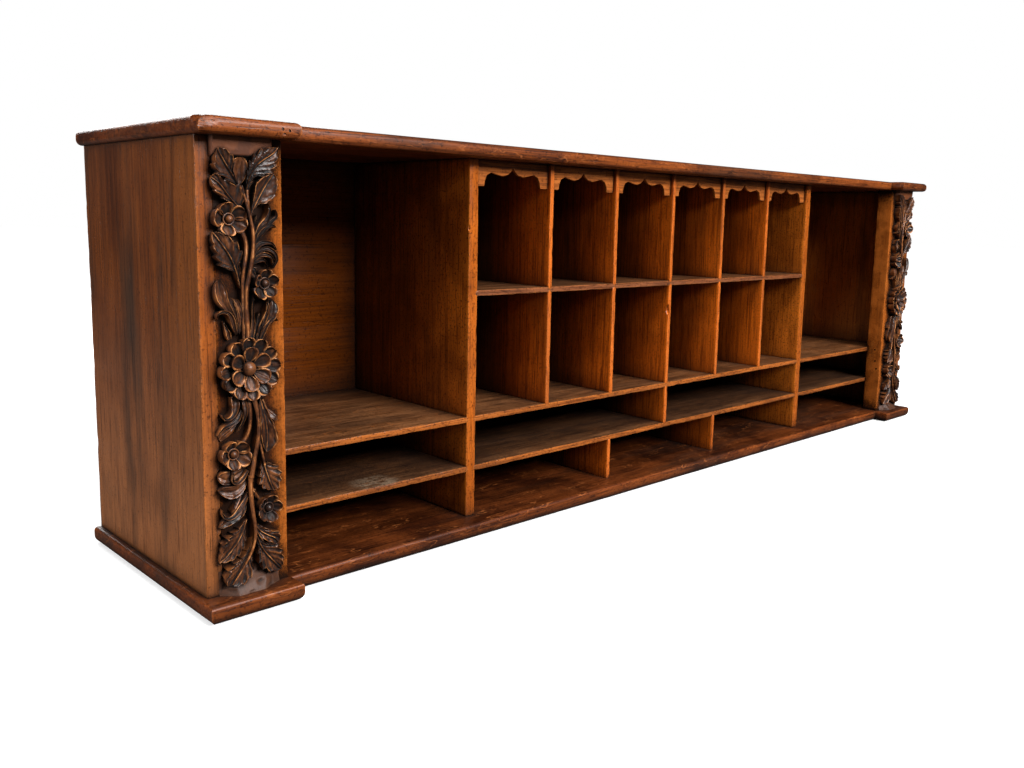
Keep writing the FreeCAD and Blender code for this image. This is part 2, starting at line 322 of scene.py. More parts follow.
# Tones that all the boards share, light and dark, among them painted shade, floor-bounce light and an edge
# highlight.
sharedTones = {
    "laidBare": (0.52, 0.36, 0.23), "knock": (0.16, 0.09, 0.06), "paintedShade": (0.09, 0.10, 0.10),
    "broadStain": (0.42, 0.36, 0.34), "thinStain": (0.34, 0.30, 0.28), "floorBounceLight": (0.48, 0.175, 0.058),
    "mottle": (0.30, 0.24, 0.22), "grain": (0.20, 0.13, 0.10), "pore": (0.14, 0.09, 0.07),
    "nick": (0.016, 0.008, 0.005), "speck": (0.13, 0.09, 0.07), "warmEdge": (0.68, 0.190, 0.030),
    "seam": (0.006, 0.003, 0.002), "carvingShadeAndDirt": (0.015, 0.0055, 0.0025),
}


def woodFinish(name, v):
    # v["grain"] is the axis the fibres run along
    f = Finish(name)
    place = f.add("TexCoord", {}, {}, "Object")
    normal = f.add("NewGeometry", {}, {}, "Normal")
    axis = "xyz".index(v["grain"])

    def scale(along, across):
        return tuple(along if k == axis else across for k in range(3))

    def absolute(value):
        return f.add("Math", {"operation": "ABSOLUTE"}, {0: value})

    def shade(reach, samples=5):
        return f.add("AmbientOcclusion", {"samples": samples}, {"Distance": reach}, "AO")

    wander = f.noise(place, scale(2.2, 10), 2)
    bent = f.add("VectorMath", {"operation": "MULTIPLY_ADD"}, {
        0: wander, 1: tuple(0.0 if k == axis else v["wander"] for k in range(3)), 2: place})
    bands = f.noise(bent, scale(v["bands"] * 0.12, v["bands"]), 3, 0.55)
    streaks = f.noise(bent, scale(v["streaks"] * 0.022, v["streaks"]), 3, 0.6)
    fibres = f.noise(bent, scale(v["fibres"] * 0.020, v["fibres"]), 4, 0.75)
    blotch = f.noise(place, (9, 9, 9), 4, 0.62)
    specks = f.noise(place, (300, 300, 300), 3, 0.6)

    stops = [(0.5 - v["soft"], v["dark"]), (0.50, v["mid"]), (0.5 + v["soft"], v["light"])]
    tone = f.add("ValToRGB", {"stops": stops},
                 {0: bands * v["slow"] + streaks * 0.25 + fibres * (0.75 - v["slow"])})
    # painted light: warmer and brighter near the front of the openings, where the light reaches, fading towards
    # the back
    if v["glow"]:
        nearFront = f.between(0 - f.part(place, "Y"), *v["frontLightReach"])
        tone = f.blend("MIX", nearFront * (bands * 0.5 + fibres * 0.5) * v["glow"], tone, v["frontLightTone"])
    if v["paintedShade"]:
        # painted shade: the boards are painted darker towards the back of the openings
        inside = f.between(f.part(place, "Y"), *v["paintedShadeReach"])
        tone = f.blend("MULTIPLY", inside * v["paintedShade"], tone, sharedTones["paintedShade"])

    # upper faces take their own tone, scuffed as by papers and, on the shelves, paler and greyer, partly a
    # painted sheen; front edges rubbed and knocked
    tops = f.between(f.part(normal, "Z"), 0.6, 0.9) * v["topAmount"]
    scuffed = f.between(f.noise(place, scale(10, 64), 5, 0.75), 0.38, 0.60)
    darkTop, paleTop = (tuple(part * much for part in v["topTone"]) for much in (0.45, 1.25))
    tone = f.blend("MIX", tops * (blotch * 0.8 + fibres * 0.8), tone, f.blend("MIX", scuffed, darkTop, paleTop))
    if v["scuff"]:
        away = f.add("VectorMath", {"operation": "DISTANCE"}, {0: place, 1: v["scuff"]}, "Value")
        torn = f.between(f.noise(place, (60, 160, 60), 4, 0.7), 0.40, 0.55)
        tone = f.blend("MIX", (1 - f.between(away, 0.018, 0.040)) * torn * tops * 0.9, tone, sharedTones["laidBare"])
    fronts = f.between(0 - f.part(normal, "Y"), 0.6, 0.9) * v["frontAmount"]
    tone = f.blend("MIX", fronts * (fibres * 1.3 + 0.2), tone, v["frontTone"])
    knocks = f.between(f.noise(place, scale(90, 330), 3, 0.7), 0.55, 0.66)
    tone = f.blend("MULTIPLY", fronts * knocks * v["knocks"], tone, sharedTones["knock"])
    if v["inside"]:
        inward = f.between(0 - f.part(place, "X") * f.part(normal, "X"), 0.1, 0.5) * v["inside"]
        tone = f.blend("MIX", inward * (fibres * 0.6 + 0.45), tone, v["insideTone"])
    if v["zones"]:
        # the panel has darkened in a broad zone behind the middle and a thin run near the front arris
        depth = f.part(place, "Y")
        height = f.part(place, "Z")
        off = absolute(depth - 0.082 + (blotch - 0.5) * 0.05)
        broad = (1 - f.between(off, 0.010, 0.050)) * f.between(height, 0.36, 0.44)
        tone = f.blend("MULTIPLY", broad * v["zones"], tone, sharedTones["broadStain"])
        off = absolute(depth + 0.0904 - (0.492 - height) * 0.078 + (blotch - 0.5) * 0.012)
        thin = (1 - f.between(off, 0.001, 0.007)) * f.between(height, 0.330, 0.370)
        tone = f.blend("MULTIPLY", thin * v["zones"], tone, sharedTones["thinStain"])
    # painted light: the lower part of the panel is warmer and paler, for light thrown up from the floor
    if v["low"]:
        nearBase = f.between(0.34 - f.part(place, "Z"), 0.0, 0.30)
        tone = f.blend("MIX", nearBase * v["low"], tone, sharedTones["floorBounceLight"])

    # stains, mottling, open grain and pores
    stained = f.between(f.noise(place, scale(2.6, 13), 4, 0.6), 0.47, 0.70) * v["stain"]
    tone = f.blend("MIX", stained, tone, v["stainTone"])
    tone = f.blend("MULTIPLY", f.between(blotch, 0.44, 0.66) * v["mottle"], tone, sharedTones["mottle"])
    closed = 1 - f.between(fibres * 0.75 + streaks * 0.25, 0.38, 0.52)
    tone = f.blend("MULTIPLY", closed * v["grainDepth"], tone, sharedTones["grain"])
    pores = f.between(f.noise(bent, scale(v["fibres"] * 0.04, v["fibres"] * 1.4), 1), 0.60, 0.70)
    tone = f.blend("MULTIPLY", pores * v["pores"], tone, sharedTones["pore"])

    # rubbed arrises, with dark nicks left in them; on the small dividers the arris tone is dark, a painted
    # shade along their front arrises
    rounded = f.add("Bevel", {"samples": 4}, {0: v["wearWidth"]})
    turn = f.add("VectorMath", {"operation": "DOT_PRODUCT"}, {0: normal, 1: rounded}, "Value")
    arris = f.between(1 - turn, 0.015, 0.16)
    patchy = f.between(f.noise(place, (34, 34, 34), 4, 0.65), 0.36, 0.60)
    tone = f.blend("MIX", arris * (patchy * 0.7 + 0.3) * v["wear"], tone, v["wearAndPaintedLight"])
    nicks = arris * f.between(f.noise(place, (130, 130, 130), 3, 0.7), 0.55, 0.64)
    tone = f.blend("MIX", nicks * 0.8, tone, sharedTones["nick"])
    spotted = f.between(specks, v["speckAt"], v["speckAt"] + 0.09)
    tone = f.blend("MULTIPLY", spotted * v["specks"], tone, sharedTones["speck"])
    # painted highlight: a warm orange band along the pilasters beside the openings
    if v["innerEdge"]:
        nearOpening = f.between(0.774 - absolute(f.part(place, "X")), 0.0, 0.016)
        tone = f.blend("MIX", nearOpening * (patchy * 0.6 + 0.4) * v["innerEdge"], tone, sharedTones["warmEdge"])
    level = f.noise(place, scale(9, 34), 3, 0.55)
    scored = (1 - f.between(absolute(level - 0.52), 0.001, 0.009)) * patchy
    tone = f.blend("MIX", scored * v["scratches"], tone, v["wearAndPaintedLight"])

    # painted shade: darker in corners and recesses, with a little grime, and black in the seams and the
    # tightest corners
    shadeAndGrime = (1 - f.between(shade(v["shadeReach"]), 0.20, 0.92)) * v["shadeAndGrime"]
    tone = f.blend("MIX", shadeAndGrime, tone, v["shadeTone"])
    seams = 1 - f.between(shade(0.0045), 0.45, 0.90)
    tone = f.blend("MIX", seams * (patchy * 0.4 + 0.6), tone, sharedTones["seam"])
    # painted shade with some dirt: the ground goes near-black close to the carving
    if v["halo"]:
        around = 1 - f.between(shade(0.045, 6) + (specks - 0.5) * 0.55 + (blotch - 0.5) * 0.45, 0.72, 1.0)
        tone = f.blend("MIX", around * v["halo"], tone, sharedTones["carvingShadeAndDirt"])
    f.link(tone, "Base Color")

    rough = v["rough"] + blotch * 0.16 + closed * 0.08 + shadeAndGrime * 0.30 + stained * 0.08 - arris * 0.05
    f.link(rough, "Roughness")
    dents = f.noise(place, (70, 70, 70), 3, 0.5)
    height = fibres * 0.4 + streaks * 0.3 - pores * 0.4 + dents * v["dents"] - nicks * 0.8
    bump = f.add("Bump", {}, {"Strength": 1.0, "Distance": v["relief"], "Height": height}, "Normal")
    f.link(bump, "Normal")
    f.shader.inputs["Specular IOR Level"].default_value = v["gloss"]
    return f.material


def carvedFinish(name, v):
    # the meshes carry three masks: rub on rims and ribs, deep in the flowers' throats, where shade is painted,
    # bare on uncut wood
    f = Finish(name)
    place = f.add("TexCoord", {}, {}, "Object")
    normal = f.add("NewGeometry", {}, {}, "Normal")
    # painted highlight: rims and ridges are lighter where they face forward and up to the left, as well as
    # where they are worn
    facing = f.between(0 - f.part(normal, "Y"), 0.15, 0.6)
    upward = f.between(f.part(normal, "Z") * 0.8 - f.part(normal, "X") * 0.5, -0.35, 0.30)
    rub, deep, bare = (f.add("Attribute", {"attribute_name": mask}, {}, "Fac")
                       for mask in ("rub", "deep", "bare"))
    rub = rub * (facing * 0.5 + 0.5) * (upward * 0.55 + 0.45)
    point = f.add("NewGeometry", {}, {}, "Pointiness")
    ridge = f.between(point, 0.505, 0.55) * facing
    valley = 1 - f.between(point, 0.455, 0.498)
    blotch = f.noise(place, (38, 38, 24), 4, 0.62)
    fibres = f.noise(place, (650, 650, 60), 3, 0.65)
    patchy = f.between(f.noise(place, (80, 80, 60), 3, 0.6), 0.40, 0.60)
    tone = f.add("ValToRGB", {"stops": [(0.39, v["dark"]), (0.50, v["mid"]), (0.62, v["light"])]},
                 {0: blotch * 0.75 + fibres * 0.25})
    wearAndHighlight = (rub * 0.9 + ridge * 0.45) * (patchy * 0.75 + f.between(blotch, 0.42, 0.58) * 0.25 + 0.04)
    tone = f.blend("MIX", f.between(wearAndHighlight, 0.05, 0.55) * 0.8, tone, v["warm"])
    tone = f.blend("MIX", f.between(wearAndHighlight, 0.42, 0.95) * 0.9, tone, v["wearAndPaintedLight"])
    tone = f.blend("MIX", bare * (fibres * 0.5 + 0.6), tone, v["bare"])
    tone = f.blend("MIX", f.between(bare, 0.8, 1.0) * (fibres * 0.6 + 0.5), tone, v["plain"])
    tone = f.blend("MULTIPLY", f.between(blotch, 0.50, 0.62) * bare * 0.6, tone, sharedTones["mottle"])
    # painted shade in the creases
    tone = f.blend("MULTIPLY", valley * 0.95, tone, v["valley"])
    # painted shade: near-black in the undercuts and gaps, and in the flowers' throats, more where they face
    # down
    shade = f.add("AmbientOcclusion", {"samples": 6}, {"Distance": v["shadeReach"]}, "AO")
    throat = deep * (0.9 - f.between(f.part(normal, "Z"), -0.1, 0.2) * 0.55)
    paintedShade = f.add("Math", {"operation": "MAXIMUM"}, {0: 1 - f.between(shade, 0.38, 0.93), 1: throat})
    tone = f.blend("MIX", paintedShade * 0.97, tone, v["paintedShade"])
    f.link(tone, "Base Color")
    f.link(v["rough"] + blotch * 0.10 + paintedShade * 0.40 + valley * 0.2 + bare * 0.30, "Roughness")
    height = fibres * 0.2 + f.noise(place, (110, 110, 80), 2, 0.5) * 0.45
    f.link(f.add("Bump", {}, {"Strength": 1.0, "Distance": v["relief"], "Height": height}, "Normal"), "Normal")
    f.shader.inputs["Specular IOR Level"].default_value = v["gloss"]
    return f.material


oak = {
    "grain": "x", "wander": 0.014, "bands": 13, "streaks": 150, "fibres": 360, "slow": 0.34, "soft": 0.16,
    "dark": (0.070, 0.014, 0.002), "mid": (0.210, 0.047, 0.006), "light": (0.400, 0.106, 0.016),
    "topTone": (0.200, 0.106, 0.060), "topAmount": 0.0, "frontTone": (0.52, 0.130, 0.018), "frontAmount": 0.0,
    "stain": 0.45, "stainTone": (0.040, 0.022, 0.014), "mottle": 0.30, "halo": 0.0, "glow": 0.0, "low": 0.0,
    "grainDepth": 0.55, "pores": 0.6, "specks": 0.7, "scratches": 0.0, "wearWidth": 0.0024, "wear": 0.85,
    "wearAndPaintedLight": (0.58, 0.172, 0.034), "inside": 0.0, "insideTone": (0.54, 0.160, 0.020), "innerEdge": 0.0,
    "scuff": None, "zones": 0.0, "frontLightTone": (0.46, 0.150, 0.032), "frontLightReach": (0.0, 0.15), "paintedShade": 0.0,
    "paintedShadeReach": (-0.05, 0.12), "knocks": 0.7, "speckAt": 0.58, "shadeReach": 0.02, "shadeAndGrime": 0.9,
    "shadeTone": (0.010, 0.004, 0.002), "rough": 0.20, "relief": 0.00025, "dents": 0.9, "gloss": 0.24,
}
finishes = {
    "side": woodFinish("sideWood", {
        **oak, "grain": "z", "bands": 9, "slow": 0.44, "stain": 0.85, "soft": 0.22, "grainDepth": 0.38,
        "dark": (0.060, 0.018, 0.006), "mid": (0.190, 0.050, 0.011), "light": (0.340, 0.100, 0.022),
        "stainTone": (0.050, 0.026, 0.015), "frontTone": (0.48, 0.110, 0.010), "frontAmount": 0.75,
        "gloss": 0.30, "glow": 0.7, "low": 0.68, "halo": 0.5, "wearWidth": 0.006, "wear": 1.0, "inside": 0.9,
        "zones": 0.7}),
    "upright": woodFinish("uprightWood", {
        **oak, "grain": "z", "frontAmount": 1.0, "stain": 0.35, "dark": (0.085, 0.020, 0.002),
        "mid": (0.345, 0.085, 0.009), "light": (0.600, 0.150, 0.016), "frontTone": (0.46, 0.105, 0.010),
        "soft": 0.19, "grainDepth": 0.50, "pores": 0.45, "fibres": 420, "glow": 1.9,
        "frontLightTone": (0.92, 0.240, 0.022), "frontLightReach": (-0.02, 0.13), "paintedShade": 0.48, "speckAt": 0.55,
        "shadeReach": 0.05, "mottle": 0.55}),
    # the small dividers' arris tone is dark, painted shade along their front arrises
    "divider": woodFinish("dividerWood", {
        **oak, "grain": "z", "frontAmount": 0.6, "stain": 0.35, "dark": (0.080, 0.014, 0.001),
        "mid": (0.330, 0.068, 0.005), "light": (0.640, 0.145, 0.011), "frontTone": (0.46, 0.125, 0.028),
        "wearAndPaintedLight": (0.110, 0.028, 0.006), "wearWidth": 0.0016, "wear": 0.75, "soft": 0.18, "grainDepth": 0.62,
        "pores": 0.6, "fibres": 460, "glow": 2.1, "specks": 0.4, "frontLightTone": (0.97, 0.205, 0.014),
        "frontLightReach": (0.0, 0.125), "paintedShade": 0.97, "paintedShadeReach": (-0.10, 0.05), "speckAt": 0.55,
        "shadeReach": 0.055, "shadeAndGrime": 0.95, "knocks": 0.9}),
    "shelf": woodFinish("shelfWood", {
        **oak, "frontAmount": 1.0, "topAmount": 1.0, "stain": 0.45, "mottle": 0.5,
        "frontTone": (0.50, 0.140, 0.024), "scratches": 0.35, "gloss": 0.30, "topTone": (0.245, 0.110, 0.045),
        "shadeReach": 0.095, "shadeAndGrime": 0.95, "speckAt": 0.55, "scuff": (-0.594, -0.094, 0.095)}),
    "midShelf": woodFinish("midShelfWood", {
        **oak, "frontAmount": 0.9, "topAmount": 1.0, "stain": 0.45, "mottle": 0.5,
        "frontTone": (0.28, 0.098, 0.040), "scratches": 0.35, "gloss": 0.30, "topTone": (0.200, 0.092, 0.040),
        "shadeReach": 0.06, "shadeAndGrime": 0.95, "speckAt": 0.55}),
    "edge": woodFinish("mouldedWood", {
        **oak, "mid": (0.175, 0.038, 0.007), "light": (0.31, 0.078, 0.014), "stain": 0.65, "mottle": 0.9,
        "rough": 0.27, "speckAt": 0.56, "gloss": 0.28, "topAmount": 0.9, "topTone": (0.098, 0.025, 0.006),
        "frontAmount": 0.35, "frontTone": (0.34, 0.086, 0.014), "knocks": 2.2, "scratches": 0.5,
        "wearWidth": 0.004, "wear": 0.8, "shadeReach": 0.04, "wearAndPaintedLight": (0.50, 0.150, 0.038)}),
    "back": woodFinish("backWood", {
        **oak, "dark": (0.060, 0.013, 0.001), "mid": (0.116, 0.026, 0.002), "light": (0.172, 0.040, 0.005),
        "stain": 0.2, "bands": 24, "wear": 0.0, "soft": 0.21, "grainDepth": 0.28, "pores": 0.45,
        "shadeReach": 0.05, "gloss": 0.10}),
    "valance": woodFinish("valanceWood", {
        **oak, "mid": (0.460, 0.128, 0.024), "light": (0.68, 0.210, 0.044), "dark": (0.100, 0.024, 0.004),
        "bands": 40, "stain": 0.4}),
    "carving": carvedFinish("carvedWood", {
        "dark": (0.012, 0.004, 0.002), "mid": (0.066, 0.020, 0.007), "light": (0.190, 0.062, 0.018),
        "warm": (0.300, 0.098, 0.024), "wearAndPaintedLight": (0.700, 0.300, 0.105), "shadeReach": 0.0085,
        "bare": (0.085, 0.032, 0.014), "plain": (0.175, 0.044, 0.007), "valley": (0.08, 0.06, 0.05),
        "paintedShade": (0.005, 0.0025, 0.002), "relief": 0.00035, "rough": 0.28, "gloss": 0.42}),
    "pilaster": woodFinish("pilasterWood", {
        **oak, "grain": "z", "mid": (0.280, 0.066, 0.008), "light": (0.500, 0.125, 0.012),
        "dark": (0.070, 0.016, 0.003), "frontTone": (0.56, 0.122, 0.009), "frontAmount": 0.6, "stain": 0.4,
        "shadeReach": 0.018, "shadeAndGrime": 1.0, "halo": 1.0, "gloss": 0.08, "specks": 0.9, "speckAt": 0.55,
        "grainDepth": 0.7, "wearWidth": 0.004, "innerEdge": 0.55, "knocks": 0.4, "inside": 0.9,
        "insideTone": (0.300, 0.068, 0.007)}),
}
steelLook = {
    "bright": (0.30, 0.28, 0.26), "dull": (0.055, 0.048, 0.043), "rust": (0.130, 0.042, 0.014),
    "relief": 0.0001,
}
steel = Finish("agedSteel")
place = steel.add("TexCoord", {}, {}, "Object")
cloud = steel.noise(place, (700, 700, 700), 4, 0.6)
rusted = steel.between(steel.noise(place, (420, 420, 420), 3, 0.65), 0.50, 0.64)
bareSteel = steel.blend("MIX", cloud, steelLook["dull"], steelLook["bright"])
steel.link(steel.blend("MIX", rusted, bareSteel, steelLook["rust"]), "Base Color")
steel.link(1 - rusted, "Metallic")
steel.link(cloud * 0.25 + rusted * 0.35 + 0.28, "Roughness")
pitted = steel.add("Bump", {}, {"Strength": 1.0, "Distance": steelLook["relief"], "Height": cloud + rusted},
                   "Normal")
steel.link(pitted, "Normal")
print("finishes ready")


# Plain boards: every arris is broken and worn, every face a little uneven.
boardLook = {"arris": 0.0011, "spacing": 0.006, "bruise": 0.0010, "behindArris": 0.005, "sharp": 0.5}


def cutBehindArrises(low, high):
    # keeps the wear of the front and back arrises out of the flat faces
    for y in (low[1] + boardLook["behindArris"], high[1] - boardLook["behindArris"]):
        bpy.ops.mesh.select_all(action="SELECT")
        bpy.ops.mesh.bisect(plane_co=(0, y, 0), plane_no=(0, 1, 0))


def board(name, node, low, high, along, finish, arris=boardLook["arris"], bruise=boardLook["bruise"]):
    piece = cubeBetween(name, low, high)
    edit()
    cutBehindArrises(low, high)
    cutAcross(along, boardLook["spacing"])
    bpy.ops.mesh.select_all(action="DESELECT")
    pick(lambda e: len(e.link_faces) == 2 and e.calc_face_angle(0) > boardLook["sharp"], "EDGE")
    bpy.ops.mesh.bevel(offset=arris, segments=2, profile=0.5)
    done()
    handWork(piece, low, high, along, bruise)
    smoothByAngle(piece)
    return finishOff(piece, finishes[finish], node)


def pointEnds(piece, axis, low, high):
    # the two ends run out to a vee
    flat = 2 if axis == 0 else 0
    only(piece)
    edit()
    for sign, level in ((-1, low[axis]), (1, high[axis])):
        pick(lambda f: abs(f.normal[axis] - sign) < 0.05 and abs(f.calc_center_median()[axis] - level) < 0.001)
        shift = [0, 0, 0]
        shift[axis] = sign * case["vee"]
        bpy.ops.mesh.extrude_region_move(TRANSFORM_OT_translate={"value": shift})
        squeeze = [1, 1, 1]
        squeeze[flat] = 0.02      # the vee's point keeps a hair of width
        bpy.ops.transform.resize(value=squeeze)
    done()


def thinBoard(name, axis, finish):
    # a shelf (axis 0) or a small divider (axis 2), drawn from its node's own box
    low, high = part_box(name)
    bodyLow, bodyHigh = Vector(low), Vector(high)
    bodyLow[axis] += case["vee"]
    bodyHigh[axis] -= case["vee"]
    piece = cubeBetween(name + "_wood", bodyLow, bodyHigh)
    edit()
    cutBehindArrises(low, high)
    cutAcross(axis, boardLook["spacing"])
    pick(lambda e: len(e.link_faces) == 2 and e.calc_face_angle(0) > boardLook["sharp"] and runsAlong(e, axis),
         "EDGE")
    bpy.ops.mesh.bevel(offset=boardLook["arris"], segments=2, profile=0.5)
    done()
    pointEnds(piece, axis, bodyLow, bodyHigh)
    handWork(piece, low, high, axis, boardLook["bruise"])
    smoothByAngle(piece)
    return finishOff(piece, finishes[finish], name)


shelfNames = ["left_bay_upper_shelf", "left_bay_lower_shelf", "right_bay_upper_shelf", "right_bay_lower_shelf",
              "pigeonhole_floor", "slot_shelf", "mid_shelf"]
dividerNames = [f"{row}_divider_{k}" for row in ("upper", "lower") for k in range(1, 6)]
dividerNames += ["slot_divider", "left_bottom_divider", "right_bottom_divider"]
shelves = {name: thinBoard(name, 0, "midShelf" if name == "mid_shelf" else "shelf") for name in shelfNames}
dividers = {name: thinBoard(name, 2, "divider") for name in dividerNames}
print("shelves and small dividers made")

uprightLook = {"sideArris": 0.0006, "pilasterArris": 0.0004, "rebate": 0.009, "past": 0.01, "above": 0.6}
uprights = {}
for side in ("left", "right"):
    for kind, finish, arris in (("_divider", "upright", boardLook["arris"]),
                                ("_side", "side", uprightLook["sideArris"])):
        low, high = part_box(side + kind)
        uprights[side + kind] = board(side + kind + "_wood", side + kind, (low.x, low.y, case["floor"]),
                                      (high.x, high.y, case["ceiling"]), 2, finish, arris)
    low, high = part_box(side + "_pilaster")
    uprights[side + "_pilaster"] = board(side + "_pilaster_wood", side + "_pilaster", low, high, 2, "pilaster",
                                         uprightLook["pilasterArris"])
    # the rebate for the back runs out past the side's inner face, its rear and both its ends
    way = -1 if side == "left" else 1
    inner = case["end"] - uprightLook["rebate"]
    edges = sorted((inner * way, (inner - 2 * uprightLook["past"]) * way))
    rebate(uprights[side + "_side"], (edges[0], case["back"], 0),
           (edges[1], case["rear"] + uprightLook["past"], uprightLook["above"]))
print("sides, tall dividers and pilaster boards made")

# back boards, half lapped; the nail heads stand just proud of them
backLook = {"lap": 0.008, "proud": 0.0003, "arris": 0.0009, "past": 0.01}
for k in range(1, 5):
    low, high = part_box(f"back_board_{k}")
    high.y -= backLook["proud"]
    piece = board(f"back_board_{k}_wood", f"back_board_{k}", low, high, 0, "back", backLook["arris"], 0.0)
    half = case["back"] + (case["rear"] - case["back"]) / 2
    out = backLook["past"]
    if k > 1:
        rebate(piece, (low.x - out, low.y - out, low.z - out), (high.x + out, half, low.z + backLook["lap"]))
    if k < 4:
        rebate(piece, (low.x - out, half, high.z - backLook["lap"]), (high.x + out, high.y + out, high.z + out))
print("back boards made")

# the solids that stay as they are only get their arrises broken, and a finish
plainSolids = [
    ("top_plugs", finishes["edge"], "case_wood", 0.0003), ("base_screws", steel.material, "steel", 0.0002),
    ("top_screws", steel.material, "steel", 0.0002), ("back_nails", steel.material, "steel", 0.0001),
]
for name, finish, slotName, arris in plainSolids:
    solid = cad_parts[name]
    solid.data.materials.clear()
    solid.data.materials.append(finish)
    solid.modifiers.new("joined", "WELD").merge_threshold = 2 * mergeWithin
    broken = solid.modifiers.new("arris", "BEVEL")
    broken.width, broken.segments = arris, 2
    broken.limit_method, broken.angle_limit = "ANGLE", math.radians(40)


# Vee grooves where the thin boards meet the others.
grooveLook = {"half": 0.00415, "depth": 0.00315, "front": -0.16, "rear": 0.17}


def cutVees(host, places):
    # places: (x, z, flat), flat being the axis that runs along the surface
    if not places:
        return
    cutters = []
    for x, z, flat in places:
        deselect()
        bpy.ops.mesh.primitive_cube_add(size=math.sqrt(0.5), rotation=(0, math.pi / 4, 0))
        bpy.ops.object.transform_apply(location=True, rotation=True, scale=True)
        cutter = bpy.context.object
        wide, deep = grooveLook["half"] * 2, grooveLook["depth"] * 2
        long = (grooveLook["rear"] - grooveLook["front"]) / math.sqrt(0.5)
        cutter.scale = (wide, long, deep) if flat == 0 else (deep, long, wide)
        cutter.location = (x, (grooveLook["front"] + grooveLook["rear"]) / 2, z)
        bpy.ops.object.transform_apply(location=True, rotation=True, scale=True)
        cutters.append(cutter)
    only(*cutters)
    if len(cutters) > 1:
        bpy.ops.object.join()
    cutAway(host, bpy.context.object)


def veesIn(low, high, guests, axis):
    # the guests' pointed ends reach case["vee"] into the board between low and high
    places = []
    for guest in guests:
        guestLow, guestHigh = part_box(guest)
        across = 2 if axis == 0 else 0
        middleOf = (guestLow + guestHigh) / 2
        if not low[across] - 0.001 < middleOf[across] < high[across] + 0.001:
            continue
        for tip, face in ((guestLow[axis], high[axis]), (guestHigh[axis], low[axis])):
            if abs(abs(tip - face) - case["vee"]) < 0.0004:
                places.append((middleOf.x, face, 0) if axis == 2 else (face, middleOf.z, 2))
    return places


for name, piece in shelves.items():
    cutVees(piece, veesIn(*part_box(name), dividerNames, 2))
for side in ("left", "right"):
    low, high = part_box(side + "_divider")
    cutVees(uprights[side + "_divider"], veesIn(low, high, shelfNames, 0))
    low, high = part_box(side + "_side")
    cutVees(uprights[side + "_side"], veesIn(low, high, shelfNames, 0))
print("vee grooves cut")

# old nail holes in the right pilaster's edge, a filled one in the left side, chipped divider arrises
oldMarks = {
    "holes": ((-0.132, 0.1617), (-0.134, 0.1364), (-0.138, 0.1183)), "holeRadius": 0.0021, "holeDepth": 0.005,
    "pilasterWidth": 0.080,
    "filled": (-0.8420, case["ground"], 0.1943), "filledRadius": 0.0017, "filledDepth": 0.0006,
    "chips": ((uprights["left_divider"], -0.4532, 0.4287, (0.0024, 0.0030, 0.0055)),
              (uprights["left_divider"], -0.4532, 0.4160, (0.0014, 0.0020, 0.0030)),
              (dividers["lower_divider_3"], -0.0040, 0.2927, (0.0030, 0.0050, 0.0095))),
}
innerEdge = -pilasterLow.x - oldMarks["pilasterWidth"]
for y, z in oldMarks["holes"]:
    bore(uprights["right_pilaster"], (innerEdge, y, z), oldMarks["holeRadius"], oldMarks["holeDepth"], 0)
bore(uprights["left_side"], oldMarks["filled"], oldMarks["filledRadius"], oldMarks["filledDepth"], 1)
for piece, x, z, size in oldMarks["chips"]:
    chip(piece, (x, case["shelfFront"], z), size)
print("old marks made")


# Base and top boards, each with a forward block at its ends.
slabLook = {
    "base_board": {"upper": 0.005, "lower": 0.011, "overlap": 0.006, "steps": 5},
    "top_board": {"upper": 0.007, "lower": 0.007, "overlap": 0.010, "steps": 6},
}
centreReach = 0.033      # how far the slabs stand in front of the shelves
slabSpacing = 0.01


def breakfrontSlab(node, v):
    low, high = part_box(node)
    blockInner = -pilasterHigh.x - v["overlap"]
    centreFront = case["shelfFront"] - centreReach
    piece = cubeBetween(node + "_wood", (low.x, centreFront, low.z), high)
    edit()
    for sign in (-1, 1):
        bpy.ops.mesh.select_all(action="SELECT")
        bpy.ops.mesh.bisect(plane_co=(sign * blockInner, 0, 0), plane_no=(1, 0, 0))
    pick(lambda f: f.normal.y < -0.9 and abs(f.calc_center_median().x) > blockInner)
    bpy.ops.mesh.extrude_region_move(TRANSFORM_OT_translate={"value": (0, low.y - centreFront, 0)})
    for level, radius in ((high.z, v["upper"]), (low.z, v["lower"])):
        pick(lambda e: all(abs(p.co.z - level) < 1e-5 for p in e.verts) and middle(e).y < high.y - 1e-4
             and e.calc_face_angle(0) > 0.5, "EDGE")
        bpy.ops.mesh.bevel(offset=radius, segments=v["steps"], profile=0.5)
    cutAcross(0, slabSpacing)
    done()
    handWork(piece, low, high, 0, 0.0)
    smoothByAngle(piece, 40)
    return finishOff(piece, finishes["edge"], node)


slabs = {node: breakfrontSlab(node, v) for node, v in slabLook.items()}

# dents in the top's left block, its bruised corner, and a short crack in the base's end
low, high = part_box("top_board")
for x, z, radius in ((-0.7651, 0.5317, 0.0018), (-0.7569, 0.5303, 0.0016), (-0.7629, 0.5256, 0.0024)):
    bore(slabs["top_board"], (x, low.y, z), radius, 0.0014, 1)
refine(slabs["top_board"], (low.x, low.y, 0.534), 0.022)
cornerBruises = [
    # from the corner in x and y, height, radius, how far it is pushed in
    (0, 0, 0.540, 0.016, (0.0030, 0.0030, -0.0030)), (0.008, 0, 0.533, 0.006, (0, 0.0014, 0)),
    (0, 0.010, 0.536, 0.007, (0.0016, 0, -0.0010)), (0.017, 0, 0.537, 0.005, (0, 0.0014, -0.0008)),
]
for x, y, z, radius, push in cornerBruises:
    nick(slabs["top_board"], (low.x + x, low.y + y, z), radius, push)
tidyFaces(slabs["top_board"])
smoothByAngle(slabs["top_board"], 40)
low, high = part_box("base_board")
score(slabs["base_board"], (low.x, -0.136, 0.0170), (low.x, -0.172, 0.0120), 0.0006, 0.0016)
print("base and top made")


